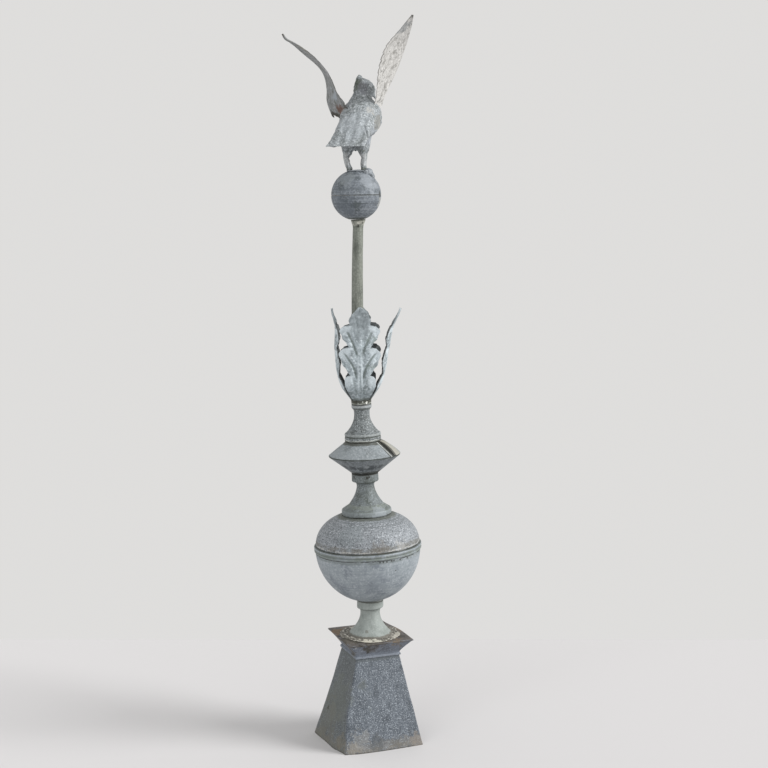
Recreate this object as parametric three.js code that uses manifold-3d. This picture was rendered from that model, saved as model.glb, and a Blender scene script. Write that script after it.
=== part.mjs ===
// A roof finial of sheet zinc, about 1.76 m tall: a square shoe, turned necks and balls, a double cone,
// four acanthus leaves round a slender stem, and a bird with raised wings on the top ball.
// Lengths are in millimetres and angles in degrees. +Z is up, and the shoe's sides lie along X and Y.

import * as THREE from "three";
import { mergeVertices } from "three/addons/utils/BufferGeometryUtils.js";
import Module from "manifold-3d";

const wasm = await Module();
wasm.setup();

// General values
const fit = 0.3; // clearance between two soldered pieces
const sheet = 1.5; // wall of the folded sheet at its hems
const ringSides = 32; // facets round a ball or a cone
const neckSides = 24; // facets round a neck
const upperTurn = -21; // how far all above the shoe is turned on it
const lean = 2.45; // everything above the lower neck leans to the left

// Shoe and cap
const shoeHeight = 220;
const shoeFootWidth = 217; // along X
const shoeFootDepth = 185; // along Y
const shoeFootShift = [-9, -12]; // how far the middle of the foot is off the middle of the head
const shoeTopSide = 112;
const footFlange = 12; // width of the hem turned inwards under the shoe
const capHeight = 43;
const capSide = 166;
const capLip = 3; // thickness of the edge of the top plate
const capWarp = [-14, 15]; // how far the back corner of the top plate is out of square
const capBead = 3; // how far the bead under the cornice stands out
const capBeadHeight = 6;

// Lower neck
const lowerNeckHeight = 89.5;
const lowerNeckFootRadius = 55;
const lowerNeckFootHeight = 2;
const lowerNeckWaistRadius = 24.4;
const lowerNeckWaistHeight = 56;
const lowerNeckCollarRadius = 33;
const lowerNeckCollarHeight = 20.5;

// Big ball
const bigBallRadius = 130;
const bowlDepth = 138; // from the widest line down to where the bowl would close
const domeHeight = 88.5; // from the widest line up to where the dome would close
const domeSquareness = 2.3; // 2 is an ellipse, more gives fuller shoulders
const rimBeadRadius = 132.8;
const rimBeadHeight = 16;

// Middle neck
const middleNeckHeight = 103;
const middleNeckRimRadius = 61.3;
const middleNeckRimHeight = 13.5;
const middleNeckShoulderRadius = 43;
const middleNeckShoulderHeight = 11;
const middleNeckWaistRadius = 21.6;
const middleNeckWaistHeight = 71;
const middleNeckCollarRadius = 33;
const middleNeckCollarHeight = 20.5;
const middleNeckOffset = 1; // soldered a little to the right of the stack's axis

// Double cone
const coneRadius = 88;
const coneOffset = 2; // soldered a little to the right of the stack's axis
const lowerConeHeight = 44;
const upperConeHeight = 34;
const upperConeTopRadius = 44.5;
const coneEdge = 1.5; // blunt edge of each cone's rim
const lapLift = 6; // how far the lap seam of the upper cone has sprung open
const lapAzimuth = -33; // where the seam's free edge is
const lapSpread = 75; // the arc over which the lifted sheet comes back to the cone

// Upper neck
const upperNeckHeight = 102;
const upperNeckFootHeight = 20.5;
const upperNeckGroove = 2;
const upperNeckWaistRadius = 19;
const upperNeckWaistHeight = 66;
const upperNeckCollarRadius = 24.8;
const upperNeckCollarHeight = 20;

// Stem
const stemLength = 435;
const stemRadius = 16;
const stemTopRadius = 12.6;
const ferruleRadius = 18;
const ferruleHeight = 22;
const stemSides = 16;
const stemBow = 12.5; // how far the stem's upper end is bent back to the right
const stemBowFrom = 0.4; // share of the stem's length that stays straight

// Leaves
const leafHeight = 224;
const leafHalfWidth = 51;
const leafThickness = 2;
const leafFootRadius = 21;
const leafRib = 5; // height of the raised middle rib
const leafSwell = 5; // how far each lobe swells outwards
const leafDroop = 0.14; // slope of a lobe's upper edge, down towards its outer end
const leafRounding = 0.28; // how far a lobe's outer end is rounded in at its top

// Top ball
const topBallRadius = 60;
const topBallGroove = 1.2;
const topBallOffset = -2.5; // the ball sits a little to the left of the stem
const topBallTurn = 1.5; // the ball leans less than the stack below it

// Bird
const birdHeading = 77; // from the X axis of the turned upper work, away from the viewer
const birdHeight = 228; // from the top of the ball to the top of the head
const birdSides = 16;
const headTurn = -32; // the head looks to its right
// Shares of the bird's height: each leg's place to the left of the middle, and its foot's from the leg
const birdLegs = [
  { place: 0.107, foot: -0.035 },
  { place: -0.081, foot: 0 },
];
const wingThickness = 2;

const materials = {
  shoe: zinc("#6f757b", 0.62),
  plate: zinc("#777a7c", 0.68),
  neck: zinc("#9aa2a4", 0.6),
  ball: zinc("#8c959d", 0.58),
  dome: zinc("#868d92", 0.64),
  leaf: zinc("#9aa5aa", 0.6),
  stem: zinc("#858c86", 0.6),
  topBall: zinc("#737b82", 0.58),
  bird: zinc("#8e9498", 0.62),
  wing: zinc("#b0afaa", 0.66),
};

function zinc(color, roughness) {
  return new THREE.MeshStandardMaterial({ color, roughness, metalness: 0.35 });
}

function radians(degrees) {
  return THREE.MathUtils.degToRad(degrees);
}

function smooth(t, from = 0, to = 1) {
  return THREE.MathUtils.smoothstep(t, from, to);
}

function mix(a, b, t) {
  return a + (b - a) * t;
}

// A value read from a short list of [place, value] stations, smoothly between them.
function along(stations, t) {
  const last = stations.length - 1;
  if (t <= stations[0][0]) return stations[0][1];
  if (t >= stations[last][0]) return stations[last][1];
  const i = stations.findIndex((s) => s[0] > t) - 1;
  const slope = (k) => {
    const a = stations[Math.max(k - 1, 0)];
    const b = stations[Math.min(k + 1, last)];
    return (b[1] - a[1]) / (b[0] - a[0]);
  };
  const [t0, v0] = stations[i];
  const [t1, v1] = stations[i + 1];
  const span = t1 - t0;
  const u = (t - t0) / span;
  const rise = u * u * (3 - 2 * u);
  const bulge = slope(i) * span * u * (1 - u) ** 2 - slope(i + 1) * span * u * u * (1 - u);
  return mix(v0, v1, rise) + bulge;
}

// Profile points [radius, height] of a hollow curve from one point to another: steep at its upper end.
function cove(fromRadius, fromHeight, toRadius, toHeight, power, steps) {
  const points = [];
  for (let i = 0; i <= steps; i++) {
    const t = i / steps;
    const radius = toRadius + (fromRadius - toRadius) * (1 - t) ** power;
    points.push([radius, mix(fromHeight, toHeight, t)]);
  }
  return points;
}

// Profile points of a rounded curve whose radius falls off with height as a superellipse does.
function dome(radius, height, squareness, fromHeight, toHeight, steps) {
  const points = [];
  const start = Math.asin((fromHeight / height) ** (squareness / 2));
  const end = Math.asin((toHeight / height) ** (squareness / 2));
  for (let i = 0; i <= steps; i++) {
    const angle = mix(start, end, i / steps);
    points.push([radius * Math.cos(angle) ** (2 / squareness), height * Math.sin(angle) ** (2 / squareness)]);
  }
  return points;
}

// A turned solid about Z from profile points that start and end on the axis or close on themselves.
function turned(points, sides) {
  const profile = points.map(([radius, height]) => new THREE.Vector2(radius, height));
  return new THREE.LatheGeometry(profile, sides).rotateX(Math.PI / 2);
}

// A turned solid with flat ends that is solid down to the axis.
function turnedSolid(points, sides) {
  const bottom = [0, points[0][1]];
  const top = [0, points[points.length - 1][1]];
  return turned([bottom, ...points, top], sides);
}

// A four-sided form about Z, its sides along X and Y, from profile points [half side, height].
function squared(points) {
  const corners = points.map(([half, height]) => [half * Math.SQRT2, height]);
  return turned(corners, 4).rotateZ(Math.PI / 4);
}

// Moves every vertex of a geometry by a function of its place.
function reshape(geometry, move) {
  const position = geometry.getAttribute("position");
  const point = new THREE.Vector3();
  for (let i = 0; i < position.count; i++) {
    move(point.fromBufferAttribute(position, i));
    position.setXYZ(i, point.x, point.y, point.z);
  }
  return geometry;
}

// A closed plate from a front and a back grid of points: rows of equal length, front first.
function plate(rows, columns, frontPoint, backPoint) {
  const vertices = [];
  const faces = [];
  const width = columns + 1;
  const layer = (rows + 1) * width;
  for (const pointAt of [frontPoint, backPoint]) {
    for (let i = 0; i <= rows; i++) {
      for (let j = 0; j <= columns; j++) vertices.push(...pointAt(i, j));
    }
  }
  const quad = (a, b, c, d) => faces.push(a, b, c, a, c, d);
  for (let i = 0; i < rows; i++) {
    for (let j = 0; j < columns; j++) {
      const a = i * width + j;
      quad(a, a + 1, a + 1 + width, a + width);
      quad(layer + a, layer + a + width, layer + a + 1 + width, layer + a + 1);
    }
  }
  for (let i = 0; i < rows; i++) {
    const left = i * width;
    const right = left + columns;
    quad(left, left + width, layer + left + width, layer + left);
    quad(right, layer + right, layer + right + width, right + width);
  }
  for (let j = 0; j < columns; j++) {
    const top = rows * width + j;
    quad(j, layer + j, layer + j + 1, j + 1);
    quad(top, top + 1, layer + top + 1, layer + top);
  }
  const geometry = new THREE.BufferGeometry();
  geometry.setAttribute("position", new THREE.Float32BufferAttribute(vertices, 3));
  geometry.setIndex(faces);
  return geometry;
}

// A closed body through oval rings: each ring is an array of points, all of one length.
function loft(rings) {
  const sides = rings[0].length;
  const vertices = rings.flat().flatMap((p) => [p.x, p.y, p.z]);
  const faces = [];
  rings.slice(1).forEach((_, i) => {
    for (let j = 0; j < sides; j++) {
      const a = i * sides + j;
      const b = i * sides + ((j + 1) % sides);
      faces.push(a, b, b + sides, a, b + sides, a + sides);
    }
  });
  const last = (rings.length - 1) * sides;
  for (let j = 1; j < sides - 1; j++) {
    faces.push(0, j + 1, j);
    faces.push(last, last + j, last + j + 1);
  }
  const geometry = new THREE.BufferGeometry();
  geometry.setAttribute("position", new THREE.Float32BufferAttribute(vertices, 3));
  geometry.setIndex(faces);
  return geometry;
}

function toManifold(geometry) {
  const bare = geometry.clone();
  bare.deleteAttribute("normal");
  bare.deleteAttribute("uv");
  const merged = mergeVertices(bare, 1e-4);
  const mesh = new wasm.Mesh({
    numProp: 3,
    vertProperties: new Float32Array(merged.getAttribute("position").array),
    triVerts: new Uint32Array(merged.index.array),
  });
  return new wasm.Manifold(mesh);
}

function fromManifold(solid) {
  const mesh = solid.getMesh();
  const geometry = new THREE.BufferGeometry();
  geometry.setAttribute("position", new THREE.Float32BufferAttribute(mesh.vertProperties, 3));
  geometry.setIndex(new THREE.BufferAttribute(mesh.triVerts, 1));
  return geometry;
}

function piece(name, geometry, material, parent) {
  const mesh = new THREE.Mesh(geometry, material);
  mesh.name = name;
  parent.add(mesh);
  return mesh;
}

// Shoe: four battered sides of sheet, open above and below, with a hem turned inwards at the foot.
function baseShoe() {
  const bottom = shoeFootWidth / 2;
  const top = shoeTopSide / 2;
  const hem = bottom - footFlange;
  const sides = squared([
    [bottom, 0],
    [top, shoeHeight],
    [top - sheet, shoeHeight],
    [bottom - sheet, sheet],
    [hem, sheet],
    [hem, 0],
    [bottom, 0],
  ]);
  return reshape(sides, (p) => {
    const low = 1 - p.z / shoeHeight;
    p.x += shoeFootShift[0] * low;
    p.y = p.y * mix(1, shoeFootDepth / shoeFootWidth, low) + shoeFootShift[1] * low;
  });
}

// Cap: a hollow flared cornice with a bead at its foot and a flat plate on top.
function baseCap() {
  const foot = shoeTopSide / 2;
  const edge = capSide / 2;
  const under = capHeight - capLip;
  const flare = [];
  const inside = [];
  const steps = 6;
  for (let i = 0; i <= steps; i++) {
    const t = i / steps;
    const half = mix(foot, edge - sheet, t ** 1.15);
    const height = mix(capBeadHeight, under, t);
    flare.push([half, height]);
    inside.unshift([Math.max(half - 2 * sheet, foot - sheet), Math.min(height, under - sheet)]);
  }
  const cornice = squared([
    [0, under - sheet],
    ...inside,
    [foot - sheet, 0],
    [foot + capBead, 0],
    [foot + capBead, capBeadHeight - 2],
    ...flare,
    [edge, under],
    [edge, capHeight],
    [0, capHeight],
  ]);
  return reshape(cornice, (p) => {
    const warped = p.x > 1 && p.y > 1 ? p.z / capHeight : 0;
    p.x += capWarp[0] * warped;
    p.y += capWarp[1] * warped;
  });
}

// Lower neck: a hollow curve up from a spread foot to a collar, bent over to the lean above its waist.
function lowerNeck() {
  const collarFrom = lowerNeckHeight - lowerNeckCollarHeight;
  const points = [
    [lowerNeckFootRadius, 0],
    ...cove(lowerNeckFootRadius, lowerNeckFootHeight, lowerNeckWaistRadius, lowerNeckWaistHeight, 2, 7),
    [mix(lowerNeckWaistRadius, lowerNeckCollarRadius, 0.25), collarFrom - 4],
    [lowerNeckCollarRadius, collarFrom],
    [lowerNeckCollarRadius, lowerNeckHeight],
  ];
  const geometry = turnedSolid(points, neckSides);
  return reshape(geometry, (p) => {
    const turn = radians(lean) * smooth(p.z, lowerNeckWaistHeight, collarFrom);
    p.z += p.x * Math.sin(turn);
    p.x *= Math.cos(turn);
  });
}

// The height in the bowl, from its widest line down, at which it meets the collar under it.
function bowlReach() {
  return bowlDepth * Math.sqrt(1 - (lowerNeckCollarRadius / bigBallRadius) ** 2);
}

// Lower half of the big ball: a deep bowl with a rolled bead round its rim.
function bigBallLower() {
  const middle = bowlReach();
  const halfBead = rimBeadHeight / 2;
  const bowl = dome(bigBallRadius, bowlDepth, 2, halfBead, middle, 10)
    .map(([radius, depth]) => [radius, middle - depth])
    .reverse();
  return turnedSolid(
    [
      ...bowl,
      [rimBeadRadius - 1, middle - halfBead],
      [rimBeadRadius, middle - halfBead / 2],
      [rimBeadRadius, middle + halfBead / 2],
      [rimBeadRadius - 1, middle + halfBead],
    ],
    ringSides,
  );
}

// The height above the big ball's widest line at which the disc of the middle neck sits.
function domeReach() {
  return domeHeight * (1 - (middleNeckRimRadius / bigBallRadius) ** domeSquareness) ** (1 / domeSquareness);
}

// Upper half of the big ball: a full-shouldered dome with faint rings near its top.
function bigBallUpper() {
  const from = rimBeadHeight / 2 + fit;
  const curve = dome(bigBallRadius - 1, domeHeight, domeSquareness, from, domeReach(), 9);
  return turnedSolid(
    curve.map(([radius, height]) => [radius, height - from]),
    ringSides,
  );
}

// Middle neck: a thick disc, a sloping shoulder, a hollow curve and a collar.
function middleNeck() {
  const shoulderTop = middleNeckRimHeight + middleNeckShoulderHeight;
  const collarFrom = middleNeckHeight - middleNeckCollarHeight;
  return turnedSolid(
    [
      [middleNeckRimRadius, 0],
      [middleNeckRimRadius, middleNeckRimHeight - 2],
      [middleNeckRimRadius - 2, middleNeckRimHeight],
      ...cove(middleNeckShoulderRadius, shoulderTop, middleNeckWaistRadius, middleNeckWaistHeight, 1.7, 6),
      [middleNeckWaistRadius + 0.5, collarFrom - 6],
      [middleNeckCollarRadius, collarFrom],
      [middleNeckCollarRadius, middleNeckHeight],
    ],
    neckSides,
  );
}

function biconeLower() {
  return turnedSolid(
    [
      [middleNeckCollarRadius, 0],
      [coneRadius - 1, lowerConeHeight - coneEdge],
      [coneRadius, lowerConeHeight],
    ],
    ringSides,
  );
}

// Upper cone: its sheet laps over itself, and the lap has sprung open, so it stands off by a step.
function biconeUpper() {
  const geometry = turnedSolid(
    [
      [coneRadius, 0],
      [coneRadius - 1, coneEdge],
      [mix(coneRadius, upperConeTopRadius, 0.5), mix(coneEdge, upperConeHeight, 0.5)],
      [upperConeTopRadius, upperConeHeight],
    ],
    ringSides * 1.5,
  );
  return reshape(geometry, (p) => {
    const radius = Math.hypot(p.x, p.y);
    const rise = p.z / upperConeHeight;
    const azimuth = THREE.MathUtils.radToDeg(Math.atan2(p.y, p.x));
    const past = THREE.MathUtils.euclideanModulo(azimuth - lapAzimuth, 360);
    const lifted = past < lapSpread ? 1 - smooth(past / lapSpread) : 0;
    const edgeless = Math.sin(Math.PI * THREE.MathUtils.clamp(rise, 0, 1)) ** 0.5;
    if (radius > 1 && rise > 0.01 && rise < 0.99) {
      const grown = (radius + lapLift * lifted * edgeless * 0.6) / radius;
      p.x *= grown;
      p.y *= grown;
      p.z += lapLift * lifted * edgeless * 0.8;
    }
  });
}

// Upper neck: a grooved foot, a hollow curve and a small collar.
function upperNeck() {
  const foot = upperConeTopRadius;
  const grooveAt = upperNeckFootHeight * 0.62;
  const collarFrom = upperNeckHeight - upperNeckCollarHeight;
  return turnedSolid(
    [
      [foot, 0],
      [foot, grooveAt - upperNeckGroove],
      [foot - upperNeckGroove, grooveAt],
      [foot, grooveAt + upperNeckGroove],
      [foot - 1, upperNeckFootHeight],
      ...cove(foot - 4, upperNeckFootHeight + 1, upperNeckWaistRadius, upperNeckWaistHeight, 2, 6),
      [upperNeckWaistRadius + 0.5, collarFrom - 6],
      [upperNeckCollarRadius, collarFrom],
      [upperNeckCollarRadius, upperNeckHeight],
    ],
    neckSides,
  );
}

// How far the stem's axis has moved to the right at a height above its foot.
function stemShift(height) {
  const t = THREE.MathUtils.clamp(height / stemLength, 0, 1);
  return stemBow * (Math.max(t - stemBowFrom, 0) / (1 - stemBowFrom)) ** 1.5;
}

// Stem: a slender tapered tube with a flared ferrule at its upper end, slightly bent.
function stemTube() {
  const ferruleFrom = stemLength - ferruleHeight;
  const points = [];
  const steps = 10;
  for (let i = 0; i <= steps; i++) {
    points.push([mix(stemRadius, stemTopRadius, i / steps), (ferruleFrom * i) / steps]);
  }
  points.push([stemTopRadius, ferruleFrom + ferruleHeight * 0.25]);
  points.push([mix(stemTopRadius, ferruleRadius, 0.5), ferruleFrom + ferruleHeight * 0.6]);
  points.push([ferruleRadius, stemLength]);
  return reshape(turnedSolid(points, stemSides), (p) => {
    p.x += stemShift(p.z);
  });
}

// The four leaf feet stand square round the stem, just clear of each other.
const leafFootHalf = leafFootRadius - leafThickness - 2 * fit;

// Leaf outline: each lobe swells outwards as it rises and ends in a notch cut back towards the rib.
const leafLobes = [
  { from: 0, to: 0.29, inner: leafFootHalf / leafHalfWidth, outer: 0.73, rows: 4 },
  { from: 0.29, to: 0.59, inner: 0.4, outer: 1, rows: 4 },
  { from: 0.59, to: 0.82, inner: 0.4, outer: 0.96, rows: 4 },
  { from: 0.82, to: 1, inner: 0.46, outer: 0.55, rows: 3 },
];

// The rows of a leaf: height share, half width share, and place within the lobe.
function leafRows() {
  const rows = [];
  leafLobes.forEach((lobe, index) => {
    const isTip = index === leafLobes.length - 1;
    for (let i = 0; i <= lobe.rows; i++) {
      const t = i / lobe.rows;
      const swell = Math.sin(Math.PI * 0.5 * smooth(t, 0, 0.75)) - leafRounding * smooth(t, 0.7, 1);
      const grown = mix(lobe.inner, lobe.outer, swell);
      const tip = mix(lobe.inner, 0.05, t ** 1.6) + 0.25 * Math.sin(Math.PI * t ** 0.8) * lobe.outer;
      const slit = i === 0 && index > 0 ? 0.008 : 0;
      rows.push({ rise: mix(lobe.from, lobe.to, t) + slit, half: isTip ? tip : grown, inLobe: t });
    }
  });
  return rows;
}

// A pressed acanthus leaf. Stretch is how upright it has been bent, and sway is how far its tip has been
// pushed sideways.
function acanthusLeaf({ stations, stretch, sway }) {
  const height = leafHeight * stretch;
  const rows = leafRows();
  const columns = 6;
  const pointAt = (i, j, depth) => {
    const row = rows[i];
    const across = (2 * j) / columns - 1;
    const side = Math.abs(across) ** 0.9 * Math.sign(across) * row.half * leafHalfWidth;
    const droop = leafDroop * smooth(row.rise, 0, 0.2) * smooth(1 - row.rise, 0, 0.12);
    const rise = Math.max(row.rise - (droop * Math.abs(side)) / height, 0);
    const radial = along(stations, rise);
    const slope = (along(stations, rise + 0.01) - along(stations, rise - 0.01)) / (0.02 * height);
    const rib = leafRib * Math.exp(-((side / 7) ** 2)) * smooth(1 - row.rise, 0, 0.3);
    const spread = Math.abs(side) / leafHalfWidth;
    const swell = leafSwell * Math.sin(Math.PI * Math.min(spread * 1.3, 1)) * smooth(row.rise, 0, 0.15);
    const out = rib + swell - depth;
    const length = Math.hypot(1, slope);
    const x = radial + out / length;
    const z = rise * height - ((out * slope) / length) * smooth(rise, 0, 0.05);
    return [x, side + sway * rise ** 1.5, Math.max(z, 0)];
  };
  return plate(
    rows.length - 1,
    columns,
    (i, j) => pointAt(i, j, 0),
    (i, j) => pointAt(i, j, leafThickness),
  );
}

// The stations give how far each leaf's middle line stands from the stem's axis at shares of its height.
const leafPoses = {
  leaf_front: {
    azimuth: -90,
    stretch: 1.02,
    sway: 8,
    stations: [[0, 21], [0.21, 45], [0.55, 52], [0.8, 50], [1, 60]],
  },
  leaf_right: {
    azimuth: 0,
    stretch: 0.97,
    sway: 0,
    stations: [[0, 21], [0.21, 50], [0.55, 68], [0.8, 82], [1, 108]],
  },
  leaf_back: {
    azimuth: 90,
    stretch: 1,
    sway: -6,
    stations: [[0, 21], [0.21, 45], [0.55, 54], [0.8, 56], [1, 66]],
  },
  leaf_left: {
    azimuth: 180,
    stretch: 1,
    sway: 0,
    stations: [[0, 21], [0.21, 47], [0.55, 54], [0.8, 52], [1, 64]],
  },
};

// Half of the top ball: the two halves meet in a fine groove at its widest line.
function topBallHalf(flatRadius, up) {
  const flat = Math.sqrt(topBallRadius ** 2 - flatRadius ** 2);
  const curve = dome(topBallRadius, topBallRadius, 2, topBallGroove * 2, flat, 7);
  const points = [[topBallRadius - topBallGroove, fit / 2], ...curve];
  if (up) return turnedSolid(points, neckSides);
  return turnedSolid(points.map(([radius, height]) => [radius, -height]).reverse(), neckSides);
}

// An oval ring of the bird: its middle, its half width, its half depth and how far its plane is tilted.
// The bird's own frame has X forwards, Y to its left and Z up.
function birdRing({ forward, side, height, halfWidth, halfDepth, tilt, squareness = 2 }) {
  const ring = [];
  for (let j = 0; j < birdSides; j++) {
    const angle = (2 * Math.PI * j) / birdSides;
    const power = 2 / squareness;
    const across = halfWidth * Math.sign(Math.cos(angle)) * Math.abs(Math.cos(angle)) ** power;
    const deep = halfDepth * Math.sign(Math.sin(angle)) * Math.abs(Math.sin(angle)) ** power;
    ring.push(
      new THREE.Vector3(
        forward - deep * Math.sin(radians(tilt)),
        side + across,
        height + deep * Math.cos(radians(tilt)),
      ),
    );
  }
  return ring;
}

// The bird without its wings and without its seat on the ball, grown all round by a clearance and turned
// to its heading. All its places are shares of its height.
function birdSolid(grow) {
  const h = birdHeight;
  const sections = (list) =>
    list.map(([forward, height, halfWidth, halfDepth, tilt, squareness, side = 0]) =>
      birdRing({
        forward: forward * h,
        side: side * h,
        height: height * h,
        halfWidth: halfWidth * h + grow,
        halfDepth: halfDepth * h + grow,
        tilt,
        squareness,
      }),
    );
  const trunk = loft(
    sections([
      [-0.44, 0.225, 0.215, 0.008, 30, 3],
      [-0.3, 0.3, 0.2, 0.025, 32, 3],
      [-0.14, 0.39, 0.195, 0.09, 35, 2.6, -0.005],
      [0.02, 0.46, 0.21, 0.16, 40, 2.3, -0.02],
      [0.16, 0.55, 0.225, 0.21, 50, 2.2, -0.02],
      [0.23, 0.65, 0.195, 0.17, 70, 2.1, -0.015],
      [0.25, 0.74, 0.125, 0.12, 84, 2],
      [0.25, 0.8, 0.09, 0.09, 90, 2],
      [0.25, 0.86, 0.07, 0.07, 90, 2],
    ]),
  );
  const head = loft(
    sections([
      [0.16, 0.78, 0.03, 0.05, 20, 2],
      [0.2, 0.84, 0.07, 0.1, 10, 2],
      [0.27, 0.865, 0.092, 0.105, 0, 2],
      [0.34, 0.855, 0.095, 0.095, 0, 2],
      [0.4, 0.835, 0.055, 0.065, 0, 2],
      [0.44, 0.8, 0.022, 0.035, -10, 2],
      [0.455, 0.75, 0.006, 0.012, -30, 2],
    ]),
  );
  const crest = loft(
    sections([
      [0.23, 0.9, 0.07, 0.07, 90, 2],
      [0.225, 0.96, 0.035, 0.045, 90, 2],
      [0.22, 1, 0.006, 0.01, 90, 2],
    ]),
  );
  const neckForward = 0.25 * h;
  for (const part of [head, crest]) {
    part.translate(-neckForward, 0, 0).rotateZ(radians(headTurn)).translate(neckForward, 0, 0);
  }
  const parts = [trunk, head, crest];
  for (const { place, foot } of birdLegs) {
    const inwards = -Math.sign(place) * 0.02;
    const leg = loft(
      sections([
        [0.01, -0.1, 0.035, 0.07, 90, 2, foot],
        [0.01, 0.015, 0.03, 0.06, 90, 2, foot],
        [0.0, 0.05, 0.022, 0.028, 90, 2, 0.5 * foot],
        [0.01, 0.12, 0.026, 0.032, 90, 2],
        [0.02, 0.165, 0.05, 0.05, 90, 2, inwards],
        [0.03, 0.2, 0.075, 0.08, 90, 2, inwards],
        [0.05, 0.4, 0.085, 0.12, 90, 2],
      ]),
    );
    parts.push(leg.translate(0, place * h, 0));
  }
  return parts.map((part) => toManifold(part.rotateZ(radians(birdHeading)))).reduce((a, b) => a.add(b));
}

// The bird's body, its feet cut to sit on the ball.
function birdBody() {
  const seat = new THREE.SphereGeometry(topBallRadius + fit, 48, 32).translate(0, 0, -topBallRadius);
  return fromManifold(birdSolid(0).subtract(toManifold(seat)));
}

// A raised wing: a leaf-shaped bent plate with feather tips along its trailing edge. The span runs from
// root to tip, the chord from the trailing to the leading edge, and the bow is the bend of the span.
// The root is cut to the bird's body with the clearance between them.
function birdWing({ root, tip, bow, azimuth, chordRise, chord, camber }) {
  const rows = 16;
  const columns = 4;
  const feathers = 8;
  const base = new THREE.Vector3(...root).multiplyScalar(birdHeight);
  const span = new THREE.Vector3(...tip).multiplyScalar(birdHeight).sub(base);
  const chordAt = (s) => {
    const turn = radians(along(azimuth, s));
    return new THREE.Vector3(Math.cos(turn), Math.sin(turn), Math.tan(radians(chordRise))).normalize();
  };
  const face = new THREE.Vector3().crossVectors(chordAt(0.5), span).normalize();
  const pointAt = (i, j, depth) => {
    const s = i / rows;
    const t = (2 * j) / columns - 1;
    const half = (along(chord, s) * birdHeight) / 2;
    const notch = j === 0 ? 1 - 0.14 * ((s * feathers) % 1) : 1;
    const point = base.clone().addScaledVector(span, s);
    point.addScaledVector(chordAt(s), half * t * notch);
    point.addScaledVector(face, (along(bow, s) + camber * (1 - t * t)) * birdHeight - depth);
    return point.toArray();
  };
  const sheetWing = plate(
    rows,
    columns,
    (i, j) => pointAt(i, j, 0),
    (i, j) => pointAt(i, j, wingThickness),
  );
  return fromManifold(toManifold(sheetWing).subtract(birdSolid(fit)));
}

// Wings in the frame of the ball's top, before the bird is turned to its heading: X right, Y away, Z up.
// The azimuth is that of the chord. Every list gives values at shares of the span, and all lengths are
// shares of the bird's height.
const wings = {
  bird_wing_left: {
    root: [-0.167, 0.175, 0.553],
    tip: [-0.763, 0.026, 1.393],
    bow: [
      [0, 0.018],
      [0.24, 0.079],
      [0.36, 0.123],
      [0.46, 0.14],
      [0.6, 0.123],
      [0.8, 0.066],
      [0.88, 0.031],
      [0.94, 0],
      [1, 0],
    ],
    azimuth: [[0, 130], [0.15, 118], [0.27, 105], [0.5, 99], [0.75, 101], [1, 97]],
    chordRise: 6,
    chord: [[0, 0.272], [0.15, 0.377], [0.38, 0.456], [0.61, 0.439], [0.8, 0.272], [0.92, 0.132], [1, 0.022]],
    camber: 0.013,
  },
  bird_wing_right: {
    root: [0.228, 0.175, 0.658],
    tip: [0.59, -0.294, 1.544],
    bow: [[0, 0], [0.45, -0.048], [0.65, -0.054], [0.84, -0.024], [1, 0]],
    azimuth: [[0, 62], [1, 62]],
    chordRise: 6,
    chord: [
      [0, 0.132],
      [0.11, 0.14],
      [0.22, 0.254],
      [0.33, 0.386],
      [0.45, 0.456],
      [0.65, 0.452],
      [0.83, 0.259],
      [0.92, 0.149],
      [1, 0.022],
    ],
    camber: -0.013,
  },
};

// The whole finial, from the ground up.
const finial = new THREE.Group();
piece("base_shoe", baseShoe(), materials.shoe, finial);
piece("base_cap", baseCap(), materials.plate, finial).position.z = shoeHeight + fit;

const turnedWork = new THREE.Group();
turnedWork.rotation.z = radians(upperTurn);
turnedWork.position.z = shoeHeight + fit + capHeight + fit;
finial.add(turnedWork);
piece("lower_neck", lowerNeck(), materials.neck, turnedWork);

// The leaning stack: each piece is seated on the one before it, with the clearance between them.
const stack = new THREE.Group();
stack.position.z = lowerNeckHeight + fit;
stack.rotation.y = -radians(lean);
turnedWork.add(stack);

const stackPieces = [
  ["big_ball_lower", bigBallLower(), materials.ball, bowlReach() + rimBeadHeight / 2, 0],
  ["big_ball_upper", bigBallUpper(), materials.dome, domeReach() - rimBeadHeight / 2 - fit, 0],
  ["middle_neck", middleNeck(), materials.neck, middleNeckHeight, middleNeckOffset],
  ["bicone_lower", biconeLower(), materials.ball, lowerConeHeight, coneOffset],
  ["bicone_upper", biconeUpper(), materials.ball, upperConeHeight, coneOffset],
  ["upper_neck", upperNeck(), materials.neck, upperNeckHeight, 0],
];
let seat = 0;
for (const [name, geometry, material, height, offset] of stackPieces) {
  piece(name, geometry, material, stack).position.set(offset, 0, seat);
  seat += height + fit;
}

piece("stem_tube", stemTube(), materials.stem, stack).position.z = seat;
for (const [name, pose] of Object.entries(leafPoses)) {
  const leaf = piece(name, acanthusLeaf(pose), materials.leaf, stack);
  leaf.position.z = seat;
  leaf.rotation.z = radians(pose.azimuth);
}

// The top ball and the bird stand almost upright on the bent stem.
const crown = new THREE.Group();
const ballFlat = Math.sqrt(topBallRadius ** 2 - ferruleRadius ** 2);
const wedge = ferruleRadius * Math.sin(radians(topBallTurn));
crown.position.set(stemBow + topBallOffset, 0, seat + stemLength + fit + wedge + ballFlat);
crown.rotation.y = radians(topBallTurn);
stack.add(crown);
piece("top_ball_lower", topBallHalf(ferruleRadius, false), materials.topBall, crown);
piece("top_ball_upper", topBallHalf(12, true), materials.topBall, crown);

const bird = new THREE.Group();
bird.rotation.y = radians(lean - topBallTurn);
crown.add(bird);
piece("bird_body", birdBody(), materials.bird, bird).position.z = topBallRadius;
for (const [name, shape] of Object.entries(wings)) {
  piece(name, birdWing(shape), materials.wing, bird).position.z = topBallRadius;
}

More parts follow.
